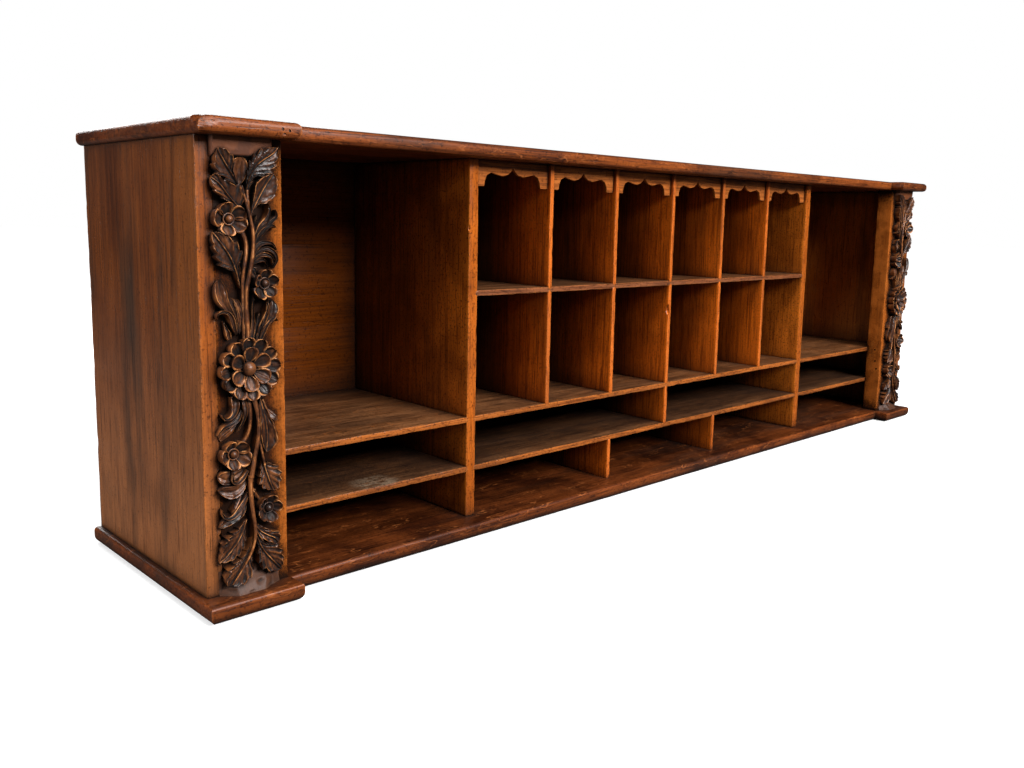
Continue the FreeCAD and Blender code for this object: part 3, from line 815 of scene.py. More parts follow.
# Cusped valances, modelled once and copied.
valanceLook = {
    "half": 0.0695, "arris": 0.0007, "columns": 110,
    # half of the arch in millimetres, from the middle cusp to the end
    "arch": ((0, 27), (4, 21.5), (10, 17.2), (20, 14.8), (30, 16.6), (41, 19.2), (49.5, 15), (53, 8), (54, 0),
             (69.5, 0)),
}


def archRise(x):
    points = valanceLook["arch"]
    x = abs(x) * 1000
    for (x0, z0), (x1, z1) in zip(points, points[1:]):
        if x <= x1:
            u = (x - x0) / max(x1 - x0, 1e-6)
            return (z0 + (z1 - z0) * u) / 1000
    return 0.0


def firstValance(low, high):
    deselect()
    bpy.ops.mesh.primitive_grid_add(x_subdivisions=valanceLook["columns"], y_subdivisions=2, size=2)
    piece = named("valance_1_wood")
    centre = (low.x + high.x) / 2
    half = valanceLook["half"]
    columns = sorted({round(v.co.x, 5) for v in piece.data.vertices})
    spread = {column: -half + 2 * half * k / (len(columns) - 1) for k, column in enumerate(columns)}
    for vertex in piece.data.vertices:
        x = spread[round(vertex.co.x, 5)]
        foot = low.z + archRise(x)
        vertex.co = (centre + x, low.y, foot + (high.z - foot) * (vertex.co.y + 1) / 2)
    edit()
    bpy.ops.mesh.select_all(action="SELECT")
    bpy.ops.mesh.extrude_region_move(TRANSFORM_OT_translate={"value": (0, high.y - low.y, 0)})
    bpy.ops.mesh.select_all(action="SELECT")
    bpy.ops.mesh.normals_make_consistent(inside=False)
    pick(lambda e: len(e.link_faces) == 2 and e.calc_face_angle(0) > 1.2, "EDGE")
    bpy.ops.mesh.bevel(offset=valanceLook["arris"], segments=2, profile=0.5)
    done()
    smoothByAngle(piece, 30)
    return piece


low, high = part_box("valance_1")
valances = [firstValance(low, high)]
for k in range(2, 7):
    only(valances[0])
    bpy.ops.object.duplicate(linked=False)
    copy = named(f"valance_{k}_wood")
    edit()
    bpy.ops.mesh.select_all(action="SELECT")
    bpy.ops.transform.translate(value=(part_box(f"valance_{k}")[0].x - low.x, 0, 0))
    done()
    valances.append(copy)
for k, piece in enumerate(valances, 1):
    finishOff(piece, finishes["valance"], f"valance_{k}")
print("valances made")


# Carved foliage, in millimetres from the side's outer arris and the base's top.
def smoothLine(points, count):
    # evenly spaced points on a smooth line through the given ones
    path = [Vector(p) for p in points]
    path = [path[0] * 2 - path[1]] + path + [path[-1] * 2 - path[-2]]
    fine = []
    for k in range(1, len(path) - 2):
        a, b, c, d = path[k - 1:k + 3]
        for j in range(10):
            u = j / 10
            fine.append((b * 2 + (c - a) * u + (a * 2 - b * 5 + c * 4 - d) * u ** 2
                         + (b * 3 - a - c * 3 + d) * u ** 3) / 2)
    fine.append(path[-2])
    lengths = [0]
    for one, other in zip(fine, fine[1:]):
        lengths.append(lengths[-1] + (other - one).length)
    even, k = [], 0
    for j in range(count + 1):
        goal = lengths[-1] * j / count
        while k < len(lengths) - 2 and lengths[k + 1] < goal:
            k += 1
        even.append(fine[k].lerp(fine[k + 1], (goal - lengths[k]) / max(lengths[k + 1] - lengths[k], 1e-9)))
    return even


def pointAlong(line, t):
    place = min(max(t, 0), 1) * (len(line) - 1)
    k = min(int(place), len(line) - 2)
    return line[k].lerp(line[k + 1], place - k)


def step(value, low, high):
    u = min(max((value - low) / (high - low), 0), 1)
    return u * u * (3 - 2 * u)


# A leaf, petal, scroll or stem: its middle line, its edges or widths, and its height along the way, all in
# millimetres. reach runs from 0 at the midrib to 1 at the edge.
bladeLook = {
    "rows": 48, "columns": 28, "crowd": 0.68, "lift": (6, 11, 10), "cup": 3.0, "sink": 1.3, "rib": 1.8,
    "ribWidth": 0.85, "beside": 0.7, "swell": 1.0, "teeth": 0, "tooth": 0.22, "slant": 0.30, "vein": 1.2,
    "slit": 0.10, "rim": 0.5, "roll": (0.74, 0.92), "uneven": 0.45, "unevenSize": 4, "under": 0.90, "edge": 1.6,
    "rimRub": 0.7, "ribRub": 0.9, "ridges": 0, "ridge": 0.7, "deep": 0.0,
}
onGround = {
    "outer": -case["end"], "foot": case["floor"], "face": case["ground"], "lowest": 0.8, "highest": 15.9,
    "seat": 0.0004,      # how far the carving stands in the pilaster's face
}


def blade(values):
    v = {**bladeLook, **values}
    mid = smoothLine(v["mid"], 40)
    if "width" in v:
        # even ribbon: both edges are set off from the middle line
        widths = smoothLine([(w, 0) for w in v["width"]], 40)
        edges = []
        for side in (1, -1):
            edge = []
            for k, point in enumerate(mid):
                run = mid[min(k + 1, 40)] - mid[max(k - 1, 0)]
                aside = Vector((-run.y, run.x)).normalized()
                edge.append(point + aside * (side * pointAlong(widths, k / 40).x))
            edges.append(edge)
    else:
        edges = [smoothLine([v["mid"][0]] + v[side] + [v["mid"][-1]], 60) for side in ("left", "right")]
    lift = smoothLine([(k, h) for k, h in enumerate(v["lift"])], 20)
    seed = Vector((v["mid"][0][0], v["mid"][0][1], 3.0))

    deselect()
    bpy.ops.mesh.primitive_grid_add(x_subdivisions=v["columns"], y_subdivisions=v["rows"], size=2)
    piece = bpy.context.object
    rub = piece.data.attributes.new("rub", "FLOAT", "POINT").data
    deep = piece.data.attributes.new("deep", "FLOAT", "POINT").data
    for vertex in piece.data.vertices:
        s, t = vertex.co.x, (vertex.co.y + 1) / 2
        # columns are closest at the midrib and at the edge
        reach = abs(s) - v["crowd"] * math.sin(2 * math.pi * abs(s)) / (2 * math.pi)
        if "width" not in v and not 0 < t < 1:
            reach = t          # both edges meet here, so the whole row is one point
        centre = pointAlong(mid, t)
        edge = pointAlong(edges[0] if s < 0 else edges[1], t)
        wide = (edge - centre).length
        aside = reach * wide
        body = math.sin(math.pi * min(max(t, 0), 1)) ** 0.6
        saw = (v["teeth"] * (t - v["slant"] * reach) + 0.35) % 1.0
        slit = math.exp(-(min(saw, 1 - saw) / v["slit"]) ** 2) if v["teeth"] else 0
        out = reach + (v["tooth"] * (saw - 0.55) * reach ** 3 * body if v["teeth"] else 0)
        place = centre + (edge - centre) * out
        rib = math.exp(-(aside / v["ribWidth"]) ** 2)
        height = pointAlong(lift, t).y - v["sink"]
        height += v["cup"] * reach ** 2 * min(wide / 6, 1.2)
        height += v["rib"] * rib
        height -= v["beside"] * math.exp(-((aside - 2.1 * v["ribWidth"]) / v["ribWidth"]) ** 2) * body
        height += v["swell"] * (math.sin(math.pi * reach) ** 2 - 0.5) * min(wide / 7, 1) * body
        height -= v["vein"] * slit * step(reach, 0.05, 0.45) * body
        height += v["ridge"] * (math.cos(2 * math.pi * v["ridges"] * reach) - 1) * 0.5 * body
        height += v["rim"] * (step(reach, *v["roll"]) - 0.8 * step(reach, v["roll"][1] + 0.03, 1.0))
        height += noise.noise(Vector((place.x, place.y, 0)) / v["unevenSize"] + seed) * v["uneven"]
        height = min(max(height, onGround["lowest"]), onGround["highest"])
        rub[vertex.index].value = max(step(reach, v["roll"][0] - 0.02, 0.93) * v["rimRub"], v["ribRub"] * rib)
        # deep marks the flowers' throats for painted shade
        deep[vertex.index].value = v["deep"] * (1 - step(reach, 0.45, 0.80)) * (1 - step(t, 0.45, 0.92))
        vertex.co = (onGround["outer"] + place.x / 1000, onGround["face"] - height / 1000,
                     onGround["foot"] + place.y / 1000)
    edit("EDGE")
    pick(lambda e: e.is_boundary, "EDGE")
    low, high = Vector(piece.bound_box[0]), Vector(piece.bound_box[6])
    centre = (low + high) / 2
    bpy.ops.mesh.extrude_region_move(TRANSFORM_OT_translate={"value": (0, v["edge"] / 1000, 0)})
    bpy.ops.mesh.extrude_region_move(TRANSFORM_OT_translate={"value": (0, 0, 0)})
    bpy.ops.transform.resize(value=(v["under"], 0.01, v["under"]),
                             center_override=(centre.x, onGround["face"] + onGround["seat"], centre.z))
    bpy.ops.mesh.edge_face_add()
    bpy.ops.mesh.select_all(action="SELECT")
    bpy.ops.mesh.remove_doubles(threshold=mergeWithin)
    bpy.ops.mesh.normals_make_consistent(inside=False)
    done()
    return piece


# along the petal, and half its width, as shares of its length and its fatness
petalShape = ((0.06, 0.36), (0.25, 0.76), (0.48, 1.0), (0.70, 1.04), (0.88, 0.80), (0.97, 0.42))

petalLook = {
    "rows": 24, "columns": 20, "rib": -0.5, "ribWidth": 0.7, "beside": 0.0, "rim": 1.9, "roll": (0.56, 0.82),
    "cup": 2.2, "swell": -0.9, "under": 0.86, "edge": 1.8, "rimRub": 0.85, "ribRub": 0.0, "deep": 1.0,
    "sink": 0,
}


def petal(centre, tip, fat, root, values):
    centre, tip = Vector(centre), Vector(tip)
    run = tip - centre
    side = Vector((-run.y, run.x)) * fat
    start = centre + run * root
    reach = tip - start
    return blade({**petalLook, "mid": [start, start + reach * 0.5, tip],
                  "left": [start + reach * a + side * b for a, b in petalShape],
                  "right": [start + reach * a - side * b for a, b in petalShape], **values})


def knob(centre, radius, height, flat=1.0, wearAndHighlight=0.12):
    deselect()
    bpy.ops.mesh.primitive_uv_sphere_add(segments=28, ring_count=16, radius=radius / 1000,
                                         location=(onGround["outer"] + centre[0] / 1000,
                                                   onGround["face"] - height / 1000,
                                                   onGround["foot"] + centre[1] / 1000), scale=(1, flat, 1))
    bpy.ops.object.transform_apply(location=True, rotation=True, scale=True)
    piece = bpy.context.object
    # rub for worn rims and their painted highlight, deep for painted shade on the dome
    for name, level in (("rub", wearAndHighlight), ("deep", 0.4)):
        for one in piece.data.attributes.new(name, "FLOAT", "POINT").data:
            one.value = level
    return piece


def collar(centre, radius, thick, height):
    deselect()
    bpy.ops.mesh.primitive_torus_add(major_segments=32, minor_segments=10, major_radius=radius / 1000,
                                     minor_radius=thick / 1000, rotation=(math.pi / 2, 0, 0),
                                     location=(onGround["outer"] + centre[0] / 1000,
                                               onGround["face"] - height / 1000,
                                               onGround["foot"] + centre[1] / 1000))
    bpy.ops.object.transform_apply(location=True, rotation=True, scale=True)
    return bpy.context.object


stemLook = {
    "sink": 0, "rimRub": 0.0, "ribRub": 0.85, "cup": -2.2, "rib": 0.3, "ribWidth": 1.3, "beside": 0.0,
    "swell": 0.0, "rim": 0.0, "columns": 12, "under": 1.0, "edge": 2.5,
}
# scrolls and fluted leaves
flute = {
    "sink": 0, "roll": (0.66, 0.86), "rimRub": 1.0, "ribRub": 0.0, "rib": -1.0, "ribWidth": 0.8, "beside": 0.0,
    "swell": 0.0, "rim": 0.9, "cup": 1.2, "columns": 20, "rows": 34, "ridges": 1.5, "ridge": 1.1,
}
leafList = [
    # head of the pilaster
    {"mid": [(47, 450), (46, 466), (46.7, 479)], "left": [(39, 456), (35.5, 465), (37, 474), (42, 478)],
     "right": [(52, 456), (55, 466), (54, 473), (50, 478)], "lift": (5, 5, 8.5), "cup": 2.2, "rib": -0.6},
    {"mid": [(48.5, 442), (36, 460), (27, 473), (21, 482), (20, 487)], "left": [(43, 448.5), (33, 452.7),
     (25, 457), (18, 461), (15, 468.6), (15.5, 477)], "right": [(40, 457), (36.5, 466), (37, 474), (34, 480.5),
     (26.7, 486)], "lift": (8, 12.5, 12.5), "teeth": 6, "tooth": 0.34, "vein": 1.5},
    {"mid": [(52, 438), (52.6, 446.8), (55.8, 458.6), (63, 470.5), (72, 478), (81, 484), (87.5, 491)],
     "left": [(52, 450), (53, 464), (56.7, 477), (63, 484), (71, 489), (80, 491)], "right": [(58, 452),
     (62, 459), (71, 459.5), (80, 464.5), (85, 473), (87, 483)], "lift": (8, 12, 13.5, 13), "teeth": 8,
     "tooth": 0.42, "vein": 1.7, "rows": 60, "cup": 1.4},
    {"mid": [(56.7, 417), (61, 427), (71, 446), (79, 459), (82.5, 463)], "left": [(59, 430), (60, 440),
     (61.5, 450), (66, 456.5), (74, 461)], "right": [(65.8, 430), (73, 431.5), (80, 436), (84.5, 444),
     (86, 452), (85, 459)], "lift": (7, 11.5, 12.5), "teeth": 5, "tooth": 0.12, "vein": 0.8},
    {"mid": [(46, 425), (37.6, 432), (29, 441), (21, 450.5), (12.6, 457)], "left": [(37.6, 427.2), (31, 432),
     (23, 437.5), (16, 444), (13, 450)], "right": [(48, 438), (43, 449), (34, 451), (26.7, 454), (17.6, 460)],
     "lift": (7, 11.5, 9), "teeth": 4, "tooth": 0.3, "vein": 1.6, "slit": 0.14},
    # beside the first flower
    {"mid": [(43, 339.5), (39.5, 355), (32, 373), (22.2, 387), (16, 396), (12.2, 400.5)], "left": [(37, 357),
     (29, 361), (21.3, 364.5), (16.3, 371), (13.5, 380), (11.3, 392)], "right": [(43, 360), (41, 366),
     (43.5, 374), (42.5, 382), (37.5, 389), (29, 395.5), (19, 400)], "lift": (7, 11.5, 12, 10), "teeth": 7,
     "tooth": 0.34, "vein": 1.5, "rows": 56},
    {**flute, "mid": [(60, 391), (61, 402), (63.5, 419)], "width": (1.2, 2.4, 0.3), "lift": (5, 8, 7)},
    {**flute, "mid": [(60, 390), (66, 402), (74, 414), (77, 424), (75.5, 431.5)],
     "width": (1.5, 4.2, 4.5, 2.8, 0.3), "lift": (6, 9, 12, 11)},
    {**flute, "mid": [(62, 390), (70, 403), (80, 412), (85.5, 418), (84, 425)],
     "width": (1.5, 3.4, 4.2, 3, 0.4), "lift": (5, 8, 11, 12)},
    {**flute, "mid": [(62, 388), (67, 398), (74, 405.5), (81, 408), (86, 405.5)],
     "width": (1.3, 2.6, 3.2, 2.8, 0.5), "lift": (6, 10, 12, 9)},
    {**flute, "mid": [(57, 371), (60, 381), (66, 388), (74, 389.5), (81, 387.5), (85.5, 381)],
     "width": (1.5, 2.8, 3.2, 3, 2.4, 0.5), "lift": (7, 11, 12.5, 10)},
    {**flute, "mid": [(60, 374), (67, 380.5), (75, 382.5), (82, 378), (84.5, 370), (81, 361)],
     "width": (1.2, 2.2, 2.8, 2.8, 2.4, 0.5), "lift": (6, 10, 13, 10)},
    {**flute, "mid": [(60, 370), (67, 375.5), (74, 376), (79.5, 371.5), (80, 364)],
     "width": (1.2, 2.4, 2.8, 2.4, 0.5), "lift": (6, 10.5, 12.5, 10)},
    {**flute, "mid": [(59, 366), (66, 370), (72, 369.5), (76, 364.5)], "width": (1, 2, 2.2, 0.5),
     "lift": (5, 8, 9, 7)},
    # leaves standing behind the large flower
    {"mid": [(37, 289), (34, 305), (27.5, 318), (20.5, 332), (18.5, 350)], "left": [(32, 303), (24.5, 316),
     (15.5, 327), (13, 338), (14.5, 347)], "right": [(38.5, 302), (33, 316), (27.5, 328), (25.5, 340),
     (22, 348.5)], "lift": (8, 12, 12.5, 9), "cup": 1.8, "rib": -1.0, "rim": 0.8},
    {"mid": [(39, 289), (36.5, 305), (33.5, 318), (28.5, 332)], "left": [(34, 307), (29.5, 320), (26.5, 328)],
     "right": [(42, 305), (39, 318), (34.5, 329)], "lift": (7, 10, 10, 8), "cup": 1.5, "rib": -0.8, "rim": 0.7},
    {"mid": [(42, 289), (42, 305), (40.5, 318), (35.5, 330)], "left": [(39, 304), (37, 316), (34, 326)],
     "right": [(45, 300), (45, 311), (43.5, 320), (39.5, 328.5)], "lift": (6, 10, 11, 9), "cup": 1.5,
     "rib": -0.8, "rim": 0.7},
    {**flute, "mid": [(36, 294), (32, 306), (27.5, 314), (20.5, 316.5), (15.5, 313.5), (16, 309)],
     "width": (2, 3.2, 3.4, 2.8, 2, 0.5), "lift": (8, 12, 13, 10)},
    {**flute, "mid": [(30, 286), (27, 296), (24, 306)], "width": (2.2, 3, 0.6), "lift": (6, 8, 5)},
    {**flute, "mid": [(54, 284), (56, 300), (55.5, 316), (57.8, 333)], "width": (2.2, 2.8, 2.8, 0.3),
     "lift": (8, 10, 11, 9)},
    {**flute, "mid": [(59, 284), (62, 299), (65, 314)], "width": (2.4, 3.6, 0.4), "lift": (6, 8, 7)},
    {**flute, "mid": [(62, 284), (67, 300), (72, 314), (73.5, 328)], "width": (2.4, 4, 3.6, 0.4),
     "lift": (7, 10, 12, 10)},
    {"mid": [(64, 284), (70, 298), (76.5, 311), (80, 327)], "left": [(66, 300), (71, 313), (75.5, 323)],
     "right": [(71, 296), (79, 303), (85.5, 312), (85.5, 320)], "lift": (7, 10, 12, 10), "cup": 1.4,
     "rib": -0.9, "rim": 0.8, "teeth": 2, "tooth": 0.3, "vein": 1.4},
    {**flute, "mid": [(65, 283), (69.5, 296), (76, 304.5), (82.5, 306.5), (86.5, 303)],
     "width": (2, 3, 3, 2.4, 0.5), "lift": (8, 11.5, 12, 9)},
    # below the large flower
    {**flute, "mid": [(33, 224), (33.5, 212), (29.5, 203.5), (22, 200), (18, 204.5)],
     "width": (3.5, 4.8, 4.2, 3.2, 0.6), "lift": (7, 10, 12, 10), "cup": 1.8},
    {**flute, "mid": [(41, 208), (36, 199), (28, 194.5), (19, 190.5), (13, 182.5)],
     "width": (1.5, 2.6, 3.2, 2.8, 0.4), "lift": (8, 11, 11, 8)},
    {"mid": [(40, 196), (32, 190), (24, 184), (17, 177)], "left": [(34, 185), (26, 178), (20, 175)],
     "right": [(35, 196), (25, 192), (17, 186)], "lift": (3, 6, 5, 3), "cup": -1.5, "rib": 0.5},
    {**flute, "mid": [(43.5, 220), (44.5, 205), (41.5, 193), (36, 184)], "width": (2.4, 3.2, 3, 0.5),
     "lift": (8, 11, 10, 6)},
    {"mid": [(63.5, 220), (67, 202), (70.5, 182), (71, 167), (70, 156)], "left": [(60.5, 209), (60.5, 192),
     (61.5, 176), (65, 163)], "right": [(69.5, 206), (76, 189), (81, 175.5), (82, 167), (76.5, 160)],
     "lift": (8, 11, 10.5, 9, 8), "cup": 3.0, "rib": 0.9, "rim": 1.2, "teeth": 3, "tooth": 0.06, "vein": 0.8},
    {"mid": [(68, 216), (73, 201), (79.5, 186), (84, 172), (82.5, 163)], "width": (1.2, 1.8, 1.8, 1.6, 0.4),
     "lift": (6, 8, 8, 6), "cup": -0.8, "rib": 0.4, "columns": 10},
    {"mid": [(70.5, 206), (77, 199), (85, 191)], "left": [(76, 203.5), (83, 196.5)], "right": [(73, 199),
     (79, 191.5)], "lift": (6, 10, 9), "cup": -1.0, "rib": -0.6, "rows": 24, "columns": 12},
    {"mid": [(65, 150), (68, 136), (72, 123), (77.5, 110.5)], "left": [(62, 142), (59.5, 131), (59.5, 121),
     (66, 114.5)], "right": [(71.5, 144), (81.5, 138.5), (85, 129), (84.5, 119), (82, 112)],
     "lift": (7, 10.5, 10, 8), "teeth": 6, "tooth": 0.36, "vein": 1.6},
    {"mid": [(46, 139), (37, 136), (29, 133.5), (20, 133), (13, 137)], "left": [(40, 130), (30, 126.5),
     (20, 127), (14, 131)], "right": [(40, 141), (30, 141.5), (20, 142.5), (14.5, 140.5)],
     "lift": (5, 6, 8, 11, 9), "cup": -0.5, "rib": -1.4, "ribWidth": 2.5, "rim": 0.9},
    {**flute, "mid": [(47, 139), (40, 131.5), (32.5, 127.5), (27, 131.5), (27.5, 141)],
     "width": (1.5, 2.6, 2.8, 2.4, 0.5), "lift": (8, 12, 13, 12)},
    {"mid": [(46, 129), (36, 120.5), (25, 118.5), (12.6, 121.8)], "left": [(43, 119.5), (36, 112.5),
     (25.5, 110.8), (16, 116)], "right": [(41, 127.5), (30.4, 125), (18, 125.5)], "lift": (7, 11, 11.5, 9),
     "cup": 1.2, "rib": -1.2, "rim": 0.8},
    {**flute, "mid": [(47, 114), (39, 102), (31, 94), (23, 90), (16.5, 92.5), (15.3, 99.5)],
     "width": (1.5, 3.4, 3.8, 3, 2.4, 0.5), "lift": (8, 11, 12.5, 10)},
    {"mid": [(38.5, 111), (33, 103), (25.5, 95)], "width": (1.2, 2.8, 0.6), "lift": (8, 12.5, 11), "cup": -1.4,
     "rib": 0.5, "rows": 24, "columns": 12, "teeth": 5, "tooth": 0.2, "vein": 0.7},
    {"mid": [(46, 108), (41, 96), (33, 88), (24, 86), (13, 79.5)], "left": [(45.5, 98), (40, 88), (31, 83),
     (20, 79)], "right": [(40, 102), (31, 93), (22, 90), (15, 85)], "lift": (6, 9, 9, 7), "cup": 0.8,
     "rib": -0.9, "rim": 0.8, "teeth": 3, "tooth": 0.1, "vein": 1.0},
    {"mid": [(44, 84.5), (38, 71), (30.4, 59.5), (20.4, 48), (11, 41)], "left": [(38, 80), (31, 75), (22, 70),
     (15.5, 63), (13.5, 54), (11.5, 46)], "right": [(41.5, 72), (40, 60), (35.5, 51), (27.6, 43.5),
     (17.6, 40.5)], "lift": (9, 12, 11.5, 9), "teeth": 7, "tooth": 0.36, "vein": 1.3, "rows": 56},
    {"mid": [(50, 62), (45.5, 46), (37.5, 33), (30, 22), (22.5, 12.5)], "left": [(45, 51), (36, 42.5),
     (25.8, 37), (19.5, 31), (16.3, 23), (17, 15)], "right": [(49, 46), (47.5, 33), (47.5, 23), (40, 14),
     (31, 10.5)], "lift": (9, 12.5, 12.5, 11), "teeth": 7, "tooth": 0.36, "vein": 1.8, "rows": 56,
     "slit": 0.13},
    {"mid": [(53.5, 76), (60, 67), (69, 60), (77, 55), (83, 47)], "left": [(57, 63), (63, 56.5), (71, 51.5),
     (79, 47.5)], "right": [(58, 74.5), (66, 69), (73.5, 64.5), (80.5, 62.5), (84, 56)],
     "lift": (7, 10, 10.5, 8), "teeth": 4, "tooth": 0.22, "vein": 1.3, "slit": 0.13},
    {"mid": [(53.5, 70), (57.6, 55), (63.5, 42.3), (73, 30), (85, 15.5)], "left": [(55.5, 50), (54.8, 38),
     (58, 27), (66, 19.5), (77, 15.5)], "right": [(60, 60), (67, 51.5), (78, 48.5), (84, 39), (86.5, 26)],
     "lift": (8, 12, 12.5, 9), "teeth": 7, "tooth": 0.4, "vein": 2.0, "rows": 56, "slit": 0.13},
    {"mid": [(50, 118), (54.5, 112), (56.5, 106)], "width": (1.2, 2.6, 0.4), "lift": (7, 9, 6), "rows": 20,
     "columns": 10},
    {"mid": [(54, 362), (58.5, 360), (62, 355)], "width": (1.2, 3.4, 1.2), "lift": (6, 8, 6), "rows": 20,
     "columns": 10},
]
stemList = [
    {"mid": [(46, 449), (49.5, 436), (54, 418.6), (56.7, 405), (57.6, 391), (56.3, 375), (52.5, 355), (49, 339),
     (48.5, 321), (49.5, 284)], "width": (1.4, 2.0, 2.3, 2.5, 2.6, 2.6, 2.6, 2.6, 2.6, 2.8),
     "lift": (11, 12.5, 12, 11, 12), "rows": 90},
    {"mid": [(43, 404.5), (48, 397), (50.4, 387), (49.5, 375), (47, 362), (45.5, 345), (45.5, 320),
     (46.5, 286)], "width": (2, 2.3, 2, 1.8, 2, 2.2, 2.2, 2.4), "lift": (9, 10.5, 9, 9, 9), "rows": 60},
    {"mid": [(53, 445), (53.5, 430), (57, 412)], "width": (1.6, 1.6, 1.4), "lift": (9, 10, 8), "rows": 30},
    {"mid": [(54, 358), (60, 352), (66, 348)], "width": (1.8, 1.8, 1.8), "lift": (9, 8, 6), "rows": 20},
    {"mid": [(54.5, 222), (58.5, 206), (59.8, 190), (58.5, 175), (53.5, 151), (49, 131)],
     "width": (2.6, 2.6, 2.4, 2.3, 2.2, 2.6), "lift": (10, 12, 12.5, 12, 13), "rows": 60},
    {"mid": [(48.6, 134), (48.3, 112), (50, 90), (52, 76), (51.8, 62), (46.5, 46), (37, 31), (24, 14)],
     "width": (2.8, 2.2, 1.9, 1.9, 1.8, 1.6, 1.4, 0.8), "lift": (12, 13, 13.5, 14, 13), "rows": 80},
    {"mid": [(48.5, 222), (50.5, 205), (50.3, 188), (46, 175), (38, 167)], "width": (2.2, 2.2, 2, 2, 1.8),
     "lift": (9, 10.5, 9, 6), "rows": 40},
    {"mid": [(60.5, 192), (62, 170), (64, 155), (66.5, 142)], "width": (1.3, 1.5, 1.5, 1.3),
     "lift": (8, 10, 10.5), "rows": 40},
    {"mid": [(49.5, 120), (55, 112), (62, 102)], "width": (1.6, 1.6, 1.4), "lift": (9, 8, 5), "rows": 20},
]
flowerList = [
    {"centre": (32.2, 414), "tips": [(13, 416), (25, 430.5), (47.5, 423), (48.5, 405.5), (28, 396.8)]},
    {"centre": (72, 345), "tips": [(58.5, 349.5), (71.5, 360.5), (85, 350), (79.5, 331.5), (61.5, 330)]},
    {"centre": (31, 159.5), "tips": [(14.5, 158), (24, 173.5), (45, 169.5), (47.5, 151), (28.5, 143.5)]},
    {"centre": (71.3, 91), "tips": [(59.5, 101), (74.5, 106.5), (85, 93), (74, 76), (58.5, 82)]},
]
smallFlower = {
    "fat": 0.47, "root": 0.20, "petal": {"lift": (2.0, 2.6, 4.4, 8.8, 14.0), "rib": 0.0},
    "heart": (4.4, 7.2), "collar": (6.0, 1.1, 6.2), "bed": (7.5, 1.0, 0.5, 0.0),
}
daisy = {
    "centre": (50.5, 252.7), "heart": (8.3, 7.4), "bed": (22, 1.0, 0.28, 0.0),
    # petals in the ring, how far they reach, first angle, fatness, root, and their own look
    "rings": (
        (12, 35.0, 4, 0.225, 0.45, {"lift": (4.0, 5.0, 8.0, 13.5), "cup": 3.0}),
        (6, 24.5, 30, 0.34, 0.28, {"lift": (6.0, 7.0, 10.0, 15.9), "cup": 2.8}),
    ),
}


def carveFlowers():
    pieces = []
    for flower in flowerList:
        for tip in flower["tips"]:
            pieces.append(petal(flower["centre"], tip, smallFlower["fat"], smallFlower["root"],
                                smallFlower["petal"]))
        pieces.append(knob(flower["centre"], *smallFlower["heart"]))
        pieces.append(collar(flower["centre"], *smallFlower["collar"]))
        pieces.append(knob(flower["centre"], *smallFlower["bed"]))
    centre = Vector(daisy["centre"])
    for count, reach, turn, fat, root, values in daisy["rings"]:
        for k in range(count):
            angle = math.radians(turn + 360 * k / count)
            run = Vector((math.cos(angle), math.sin(angle)))
            pieces.append(petal(centre, centre + run * reach, fat, root, values))
    pieces.append(knob(centre, *daisy["heart"]))
    pieces.append(knob(centre, *daisy["bed"]))
    return pieces


endLook = {
    # span across, height at the end, slope of the face, how the flanks rise and fall away, where it dies into
    # the ground, depth of the chisel cuts, how bare the wood is
    "foot": {"x": (13.5, 86), "high": 15.8, "slope": 0.62, "flank": (0.85, 0.55), "fall": (0.5, 0.4),
             "die": (9.0, 27), "cut": 5, "bare": 0.7},
    "head": {"x": (14.5, 86), "high": 9.5, "slope": 0.10, "flank": (9, 1.5), "fall": (0, 0),
             "die": (18.5, 23), "cut": 0, "bare": 1.0},
}
chisel = {"across": 13, "down": 8, "from": 0.12, "ripple": 0.4, "length": 27, "thinnest": 0.15}


def carveEnds():
    # uncut wood left at the head and the foot, with the cuts of a broad chisel
    pieces = []
    for name, start, way in (("foot", case["floor"], 1), ("head", case["ceiling"], -1)):
        v = endLook[name]
        deselect()
        bpy.ops.mesh.primitive_grid_add(x_subdivisions=64, y_subdivisions=30, size=2)
        piece = bpy.context.object
        for vertex in piece.data.vertices:
            u, t = (vertex.co.x + 1) / 2, (vertex.co.y + 1) / 2
            x = v["x"][0] + (v["x"][1] - v["x"][0]) * u
            rise = t * chisel["length"]
            height = v["high"] - v["slope"] * rise
            height = min(height, 1.5 + (x - v["x"][0]) * v["flank"][0] - rise * v["fall"][0])
            height = min(height, 2.5 + (v["x"][1] - x) * v["flank"][1] - rise * v["fall"][1])
            cut = noise.noise(Vector((x / chisel["across"], rise / chisel["down"], way * 3)))
            height -= max(cut - chisel["from"], 0) * v["cut"]
            height -= abs(noise.noise(Vector((x / 6, rise / 7, 5)))) * chisel["ripple"]
            height *= 1 - 0.97 * step(rise, *v["die"])
            height = max(height, chisel["thinnest"])
            vertex.co = (onGround["outer"] + x / 1000, onGround["face"] - height / 1000,
                         start + way * rise / 1000)
        bare = piece.data.attributes.new("bare", "FLOAT", "POINT").data
        for one in bare:
            one.value = v["bare"]
        edit("EDGE")
        pick(lambda e: e.is_boundary, "EDGE")
        bpy.ops.mesh.extrude_region_move(TRANSFORM_OT_translate={"value": (0, 0, 0)})
        bpy.ops.transform.resize(value=(1, 0, 1), center_override=(0, onGround["face"] + onGround["seat"], 0))
        bpy.ops.mesh.edge_face_add()
        bpy.ops.mesh.select_all(action="SELECT")
        bpy.ops.mesh.normals_make_consistent(inside=False)
        done()
        pieces.append(piece)
    return pieces


carved = [blade(v) for v in leafList]
carved += [blade({**stemLook, **v}) for v in stemList]
carved += carveFlowers() + carveEnds()
only(*carved)
bpy.ops.object.join()
leftCarving = named("left_carving_wood")
smoothByAngle(leftCarving, 48)
print("carving made,", len(leftCarving.data.polygons), "faces")

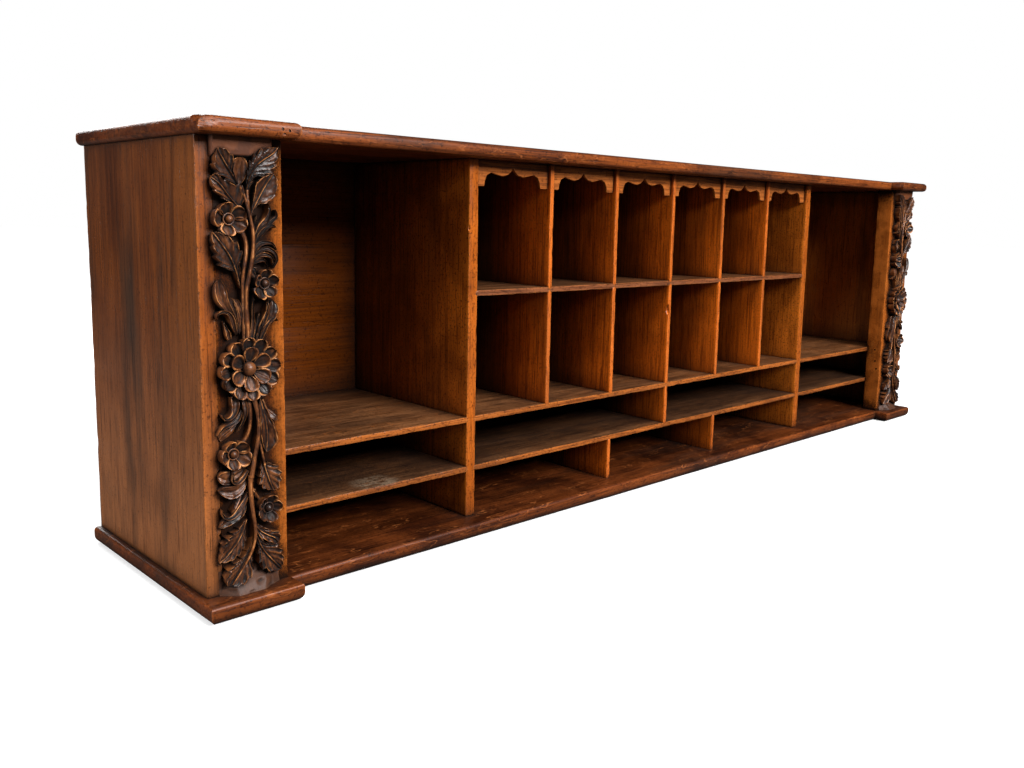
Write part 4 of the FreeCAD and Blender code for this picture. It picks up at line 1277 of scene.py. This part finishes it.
deselect()
leftCarving.select_set(True)
bpy.context.view_layer.objects.active = leftCarving
bpy.ops.object.duplicate(linked=False)
rightCarving = named("right_carving_wood")
edit()
bpy.ops.mesh.select_all(action="SELECT")
bpy.ops.transform.resize(value=(-1, 1, 1), center_override=(0, 0, 0))
bpy.ops.mesh.flip_normals()
done()
finishOff(leftCarving, finishes["carving"], "left_carving")
finishOff(rightCarving, finishes["carving"], "right_carving")
print("right carving mirrored")


# Stage, lights and camera.
def softBox(name, place, aim, size, watts):
    deselect()
    bpy.ops.object.light_add(type="AREA", location=place)
    lamp = bpy.context.object
    lamp.name = name
    lamp.rotation_euler = (Vector(aim) - Vector(place)).to_track_quat("-Z", "Y").to_euler()
    lamp.data.shape = "RECTANGLE"
    lamp.data.size, lamp.data.size_y = size
    lamp.data.energy = watts


lampList = [
    # name, place, what it points at, size, watts
    ("keyLight", (0.2, -3.7, 2.2), (0, 0, 0.25), (2.4, 1.2), 240),
    ("leftLight", (-3.8, 0.5, 0.9), (0, 0, 0.05), (1.2, 1.6), 62),
    ("backLight", (0.4, 3.6, 1.9), (0, 0, 0.2), (2.6, 1.4), 90),
    ("topLight", (-0.6, -1.3, 3.1), (-0.1, 0, 0.3), (2.4, 1.0), 55),
]
for lamp in lampList:
    softBox(*lamp)

# the camera sees a white room, the piece a dim one
studioLook = {"fill": 0.06, "white": 1.0}
world = bpy.data.worlds.new("studio")
bpy.context.scene.world = world
world.use_nodes = True
worldNodes = world.node_tree.nodes
worldLinks = world.node_tree.links
backdrop = worldNodes["Background"]
rays = worldNodes.new("ShaderNodeLightPath")
seen = worldNodes.new("ShaderNodeBackground")
mixer = worldNodes.new("ShaderNodeMixShader")
for background, strength in ((backdrop, studioLook["fill"]), (seen, studioLook["white"])):
    background.inputs["Color"].default_value = (1, 1, 1, 1)
    background.inputs["Strength"].default_value = strength
worldLinks.new(rays.outputs["Is Camera Ray"], mixer.inputs[0])
worldLinks.new(backdrop.outputs[0], mixer.inputs[1])
worldLinks.new(seen.outputs[0], mixer.inputs[2])
worldLinks.new(mixer.outputs[0], worldNodes["World Output"].inputs["Surface"])

# pale paper under the case: it throws little light back on the wood and runs out to white
paperLook = {
    "size": 40, "level": -0.0004, "seen": (0.86, 0.86, 0.86), "bounced": (0.11, 0.105, 0.10),
    "rough": 0.9, "gloss": 0.1, "fade": (0.9, 3.0), "glow": (0.60, 0.45),
}
deselect()
bpy.ops.mesh.primitive_plane_add(size=paperLook["size"], location=(0, 0, paperLook["level"]))
bpy.ops.object.transform_apply(location=True)
floor = named("floor")
paper = Finish("palePaper")
paper.shader.inputs["Roughness"].default_value = paperLook["rough"]
paper.shader.inputs["Specular IOR Level"].default_value = paperLook["gloss"]
cameraOnly = paper.add("LightPath", {}, {}, "Is Camera Ray")
paper.link(paper.blend("MIX", cameraOnly, paperLook["bounced"], paperLook["seen"]), "Base Color")
spot = paper.add("TexCoord", {}, {}, "Object")
fromCase = paper.add("VectorMath", {"operation": "LENGTH"}, {0: spot}, "Value")
least, more = paperLook["glow"]
glow = paper.add("Emission", {}, {"Color": paper.between(fromCase, *paperLook["fade"]) * more + least,
                                  "Strength": 1.0})
plain = Wire(paper, paper.shader.outputs[0])
lit = paper.add("AddShader", {}, {0: plain, 1: glow})
surface = paper.add("MixShader", {}, {0: cameraOnly, 1: plain, 2: lit})
paper.tree.links.new(surface.socket, paper.tree.nodes["Material Output"].inputs["Surface"])
floor.data.materials.append(paper.material)

cameraLook = {
    "place": (-1.2703, -1.0753, 0.4442), "turn": -44.227, "down": 8.221, "tilt": 1.251,
    "focalPixels": 919.5, "axisPixel": (529.3, 350.6), "picture": (1024, 768), "sensor": 36.0,
}
deselect()
bpy.ops.object.camera_add(location=cameraLook["place"])
camera = bpy.context.object
camera.name = "camera"
turned = (Matrix.Rotation(math.radians(cameraLook["turn"]), 3, "Z")
          @ Matrix.Rotation(math.radians(90 - cameraLook["down"]), 3, "X")
          @ Matrix.Rotation(math.radians(cameraLook["tilt"]), 3, "Z"))
camera.rotation_euler = turned.to_euler()
wide, tall = cameraLook["picture"]
camera.data.sensor_width = cameraLook["sensor"]
camera.data.lens = cameraLook["focalPixels"] * camera.data.sensor_width / wide
camera.data.shift_x = (wide / 2 - cameraLook["axisPixel"][0]) / wide
camera.data.shift_y = (cameraLook["axisPixel"][1] - tall / 2) / wide
camera.data.clip_start = 0.05
bpy.context.scene.camera = camera
bpy.context.scene.view_settings.view_transform = "Standard"
